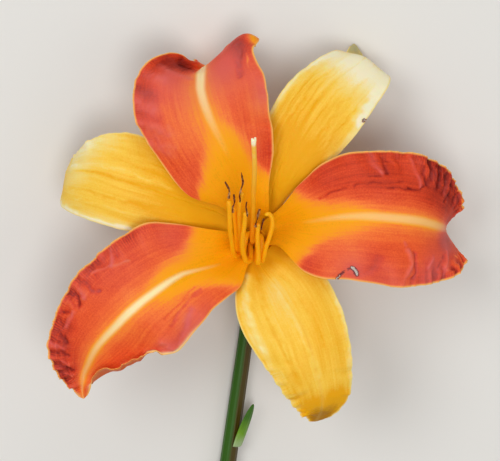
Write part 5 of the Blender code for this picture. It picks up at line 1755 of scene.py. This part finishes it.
class DAYLILY_OT_bract(bpy.types.Operator):
    """Builds the small folded leaf beside the stem"""

    bl_idname = "daylily.bract"
    bl_label = "Bract"

    def execute(self, context):
        colours = context.scene.daylily_colours
        lift = BRACT_OUTWARD.cross(BRACT_LEAD).normalized()
        share = np.linspace(0, 1, BRACT_ROWS + 1)[:, None]
        side = np.linspace(-1, 1, BRACT_COLUMNS + 1)[None]
        outline = (1 - share) ** BRACT_TAPER * (BRACT_FOOT + BRACT_WIDENING * share)
        stand_off = BRACT_STAND_OFF * share**BRACT_BEND - BRACT_FOLD * side**2 * (1 - share)
        middle = (np.array(BRACT_BASE) + np.array(BRACT_LEAD) * (BRACT_LENGTH * share)[..., None]
                  + np.array(lift) * (side * BRACT_HALF_WIDTH * outline)[..., None]
                  + np.array(BRACT_OUTWARD) * stand_off[..., None])
        edge = np.sqrt(np.clip(1 - side**SIDE_ROUND, 0, 1))
        edge = edge * np.sqrt(np.clip(1 - (2 * share - 1) ** END_ROUND, 0, 1))
        keel = BRACT_KEEL * bell(side, BRACT_KEEL_WIDTH)
        half = BRACT_THICKNESS / 2 * edge
        upper = middle + np.array(BRACT_OUTWARD) * (half + keel * edge)[..., None]
        lower = middle - np.array(BRACT_OUTWARD) * half[..., None]
        pattern = paired(side * BRACT_HALF_WIDTH / MM, share * BRACT_LENGTH / MM)
        tone = np.broadcast_to(share, half.shape)
        stops = [(0, colours.bract_pale), (0.3, colours.bract_light), (0.7, colours.bract_green)]
        finish = smooth_tissue("daylily_bract_leaf", stops, gloss=0.45, line_spacing=0.25 * MM,
                               line_height=0.05 * MM, flesh=0.1)
        piece = closed_piece("bract_leaf", wrapped(upper, lower), wrapped(pattern, pattern),
                             {"tone": wrapped(tone, tone)}, finish)
        stand_for(piece, "bract")
        return {"FINISHED"}


class DAYLILY_OT_stage(bpy.types.Operator):
    """Sets up the pale table top, the soft lights and the camera over the bloom"""

    bl_idname = "daylily.stage"
    bl_label = "Table, lights and camera"

    def light(self, name, energy, size, place, aim):
        lamp = bpy.data.lights.new(name, "AREA")
        lamp.shape = "DISK"
        lamp.size = size
        lamp.energy = energy
        obj = bpy.data.objects.new(name, lamp)
        bpy.context.scene.collection.objects.link(obj)
        obj.location = place
        obj.rotation_euler = (Vector(aim) - Vector(place)).to_track_quat("-Z", "Y").to_euler()

    def execute(self, context):
        colours = context.scene.daylily_colours
        deselect_all()
        bpy.ops.mesh.primitive_plane_add(size=TABLE_SIZE)
        table = bpy.context.object
        table.name = "table_top"
        table.data.materials.append(table_top(colours))
        for name, energy, size, place in LIGHTS:
            self.light(name, energy, size, place, (0, 0, 0))

        world = bpy.data.worlds.new("studio")
        world.use_nodes = True
        sky = world.node_tree.nodes["Background"]
        sky.inputs["Color"].default_value = (1, 1, 1, 1)
        sky.inputs["Strength"].default_value = WORLD_STRENGTH
        context.scene.world = world

        lens = bpy.data.cameras.new("camera")
        lens.sensor_width = SENSOR_WIDTH
        lens.lens = SENSOR_WIDTH * CAMERA_PLACE.z / CAMERA_WIDTH
        lens.clip_start = 10 * MM
        camera = bpy.data.objects.new("camera", lens)
        context.scene.collection.objects.link(camera)
        camera.matrix_world = BLOOM_TO_TABLE @ Matrix.Translation(CAMERA_PLACE)
        context.scene.camera = camera
        context.scene.view_settings.view_transform = "Standard"
        return {"FINISHED"}


class DAYLILY_PT_sidebar(bpy.types.Panel):
    """Lists the bloom's pieces, sizes and colours"""

    bl_idname = "DAYLILY_PT_sidebar"
    bl_label = "Daylily Bloom"
    bl_space_type = "VIEW_3D"
    bl_region_type = "UI"
    bl_category = "Daylily"

    def draw(self, context):
        layout = self.layout
        for operator in OPERATORS:
            layout.operator(operator.bl_idname)
        for title, group in (("Sizes", "daylily_sizes"), ("Colours", "daylily_colours")):
            box = layout.box()
            box.label(text=title)
            settings = getattr(context.scene, group)
            for name in settings.bl_rna.properties.keys():
                if name not in ("rna_type", "name"):
                    box.prop(settings, name)


OPERATORS = (DAYLILY_OT_stage, DAYLILY_OT_tube, DAYLILY_OT_sepals, DAYLILY_OT_petals, DAYLILY_OT_stamens,
             DAYLILY_OT_pistil, DAYLILY_OT_stem, DAYLILY_OT_bract)
CLASSES = (DaylilySizes, DaylilyColours, *OPERATORS, DAYLILY_PT_sidebar)


def register():
    for kind in CLASSES:
        bpy.utils.register_class(kind)
    bpy.types.Scene.daylily_sizes = bpy.props.PointerProperty(type=DaylilySizes)
    bpy.types.Scene.daylily_colours = bpy.props.PointerProperty(type=DaylilyColours)


def unregister():
    del bpy.types.Scene.daylily_colours
    del bpy.types.Scene.daylily_sizes
    for kind in reversed(CLASSES):
        bpy.utils.unregister_class(kind)


def main():
    register()
    bpy.ops.daylily.stage()
    bpy.ops.daylily.tube()
    bpy.ops.daylily.sepals()
    bpy.ops.daylily.petals()
    bpy.ops.daylily.stamens()
    bpy.ops.daylily.pistil()
    bpy.ops.daylily.stem()
    bpy.ops.daylily.bract()


if __name__ == "__main__":
    main()
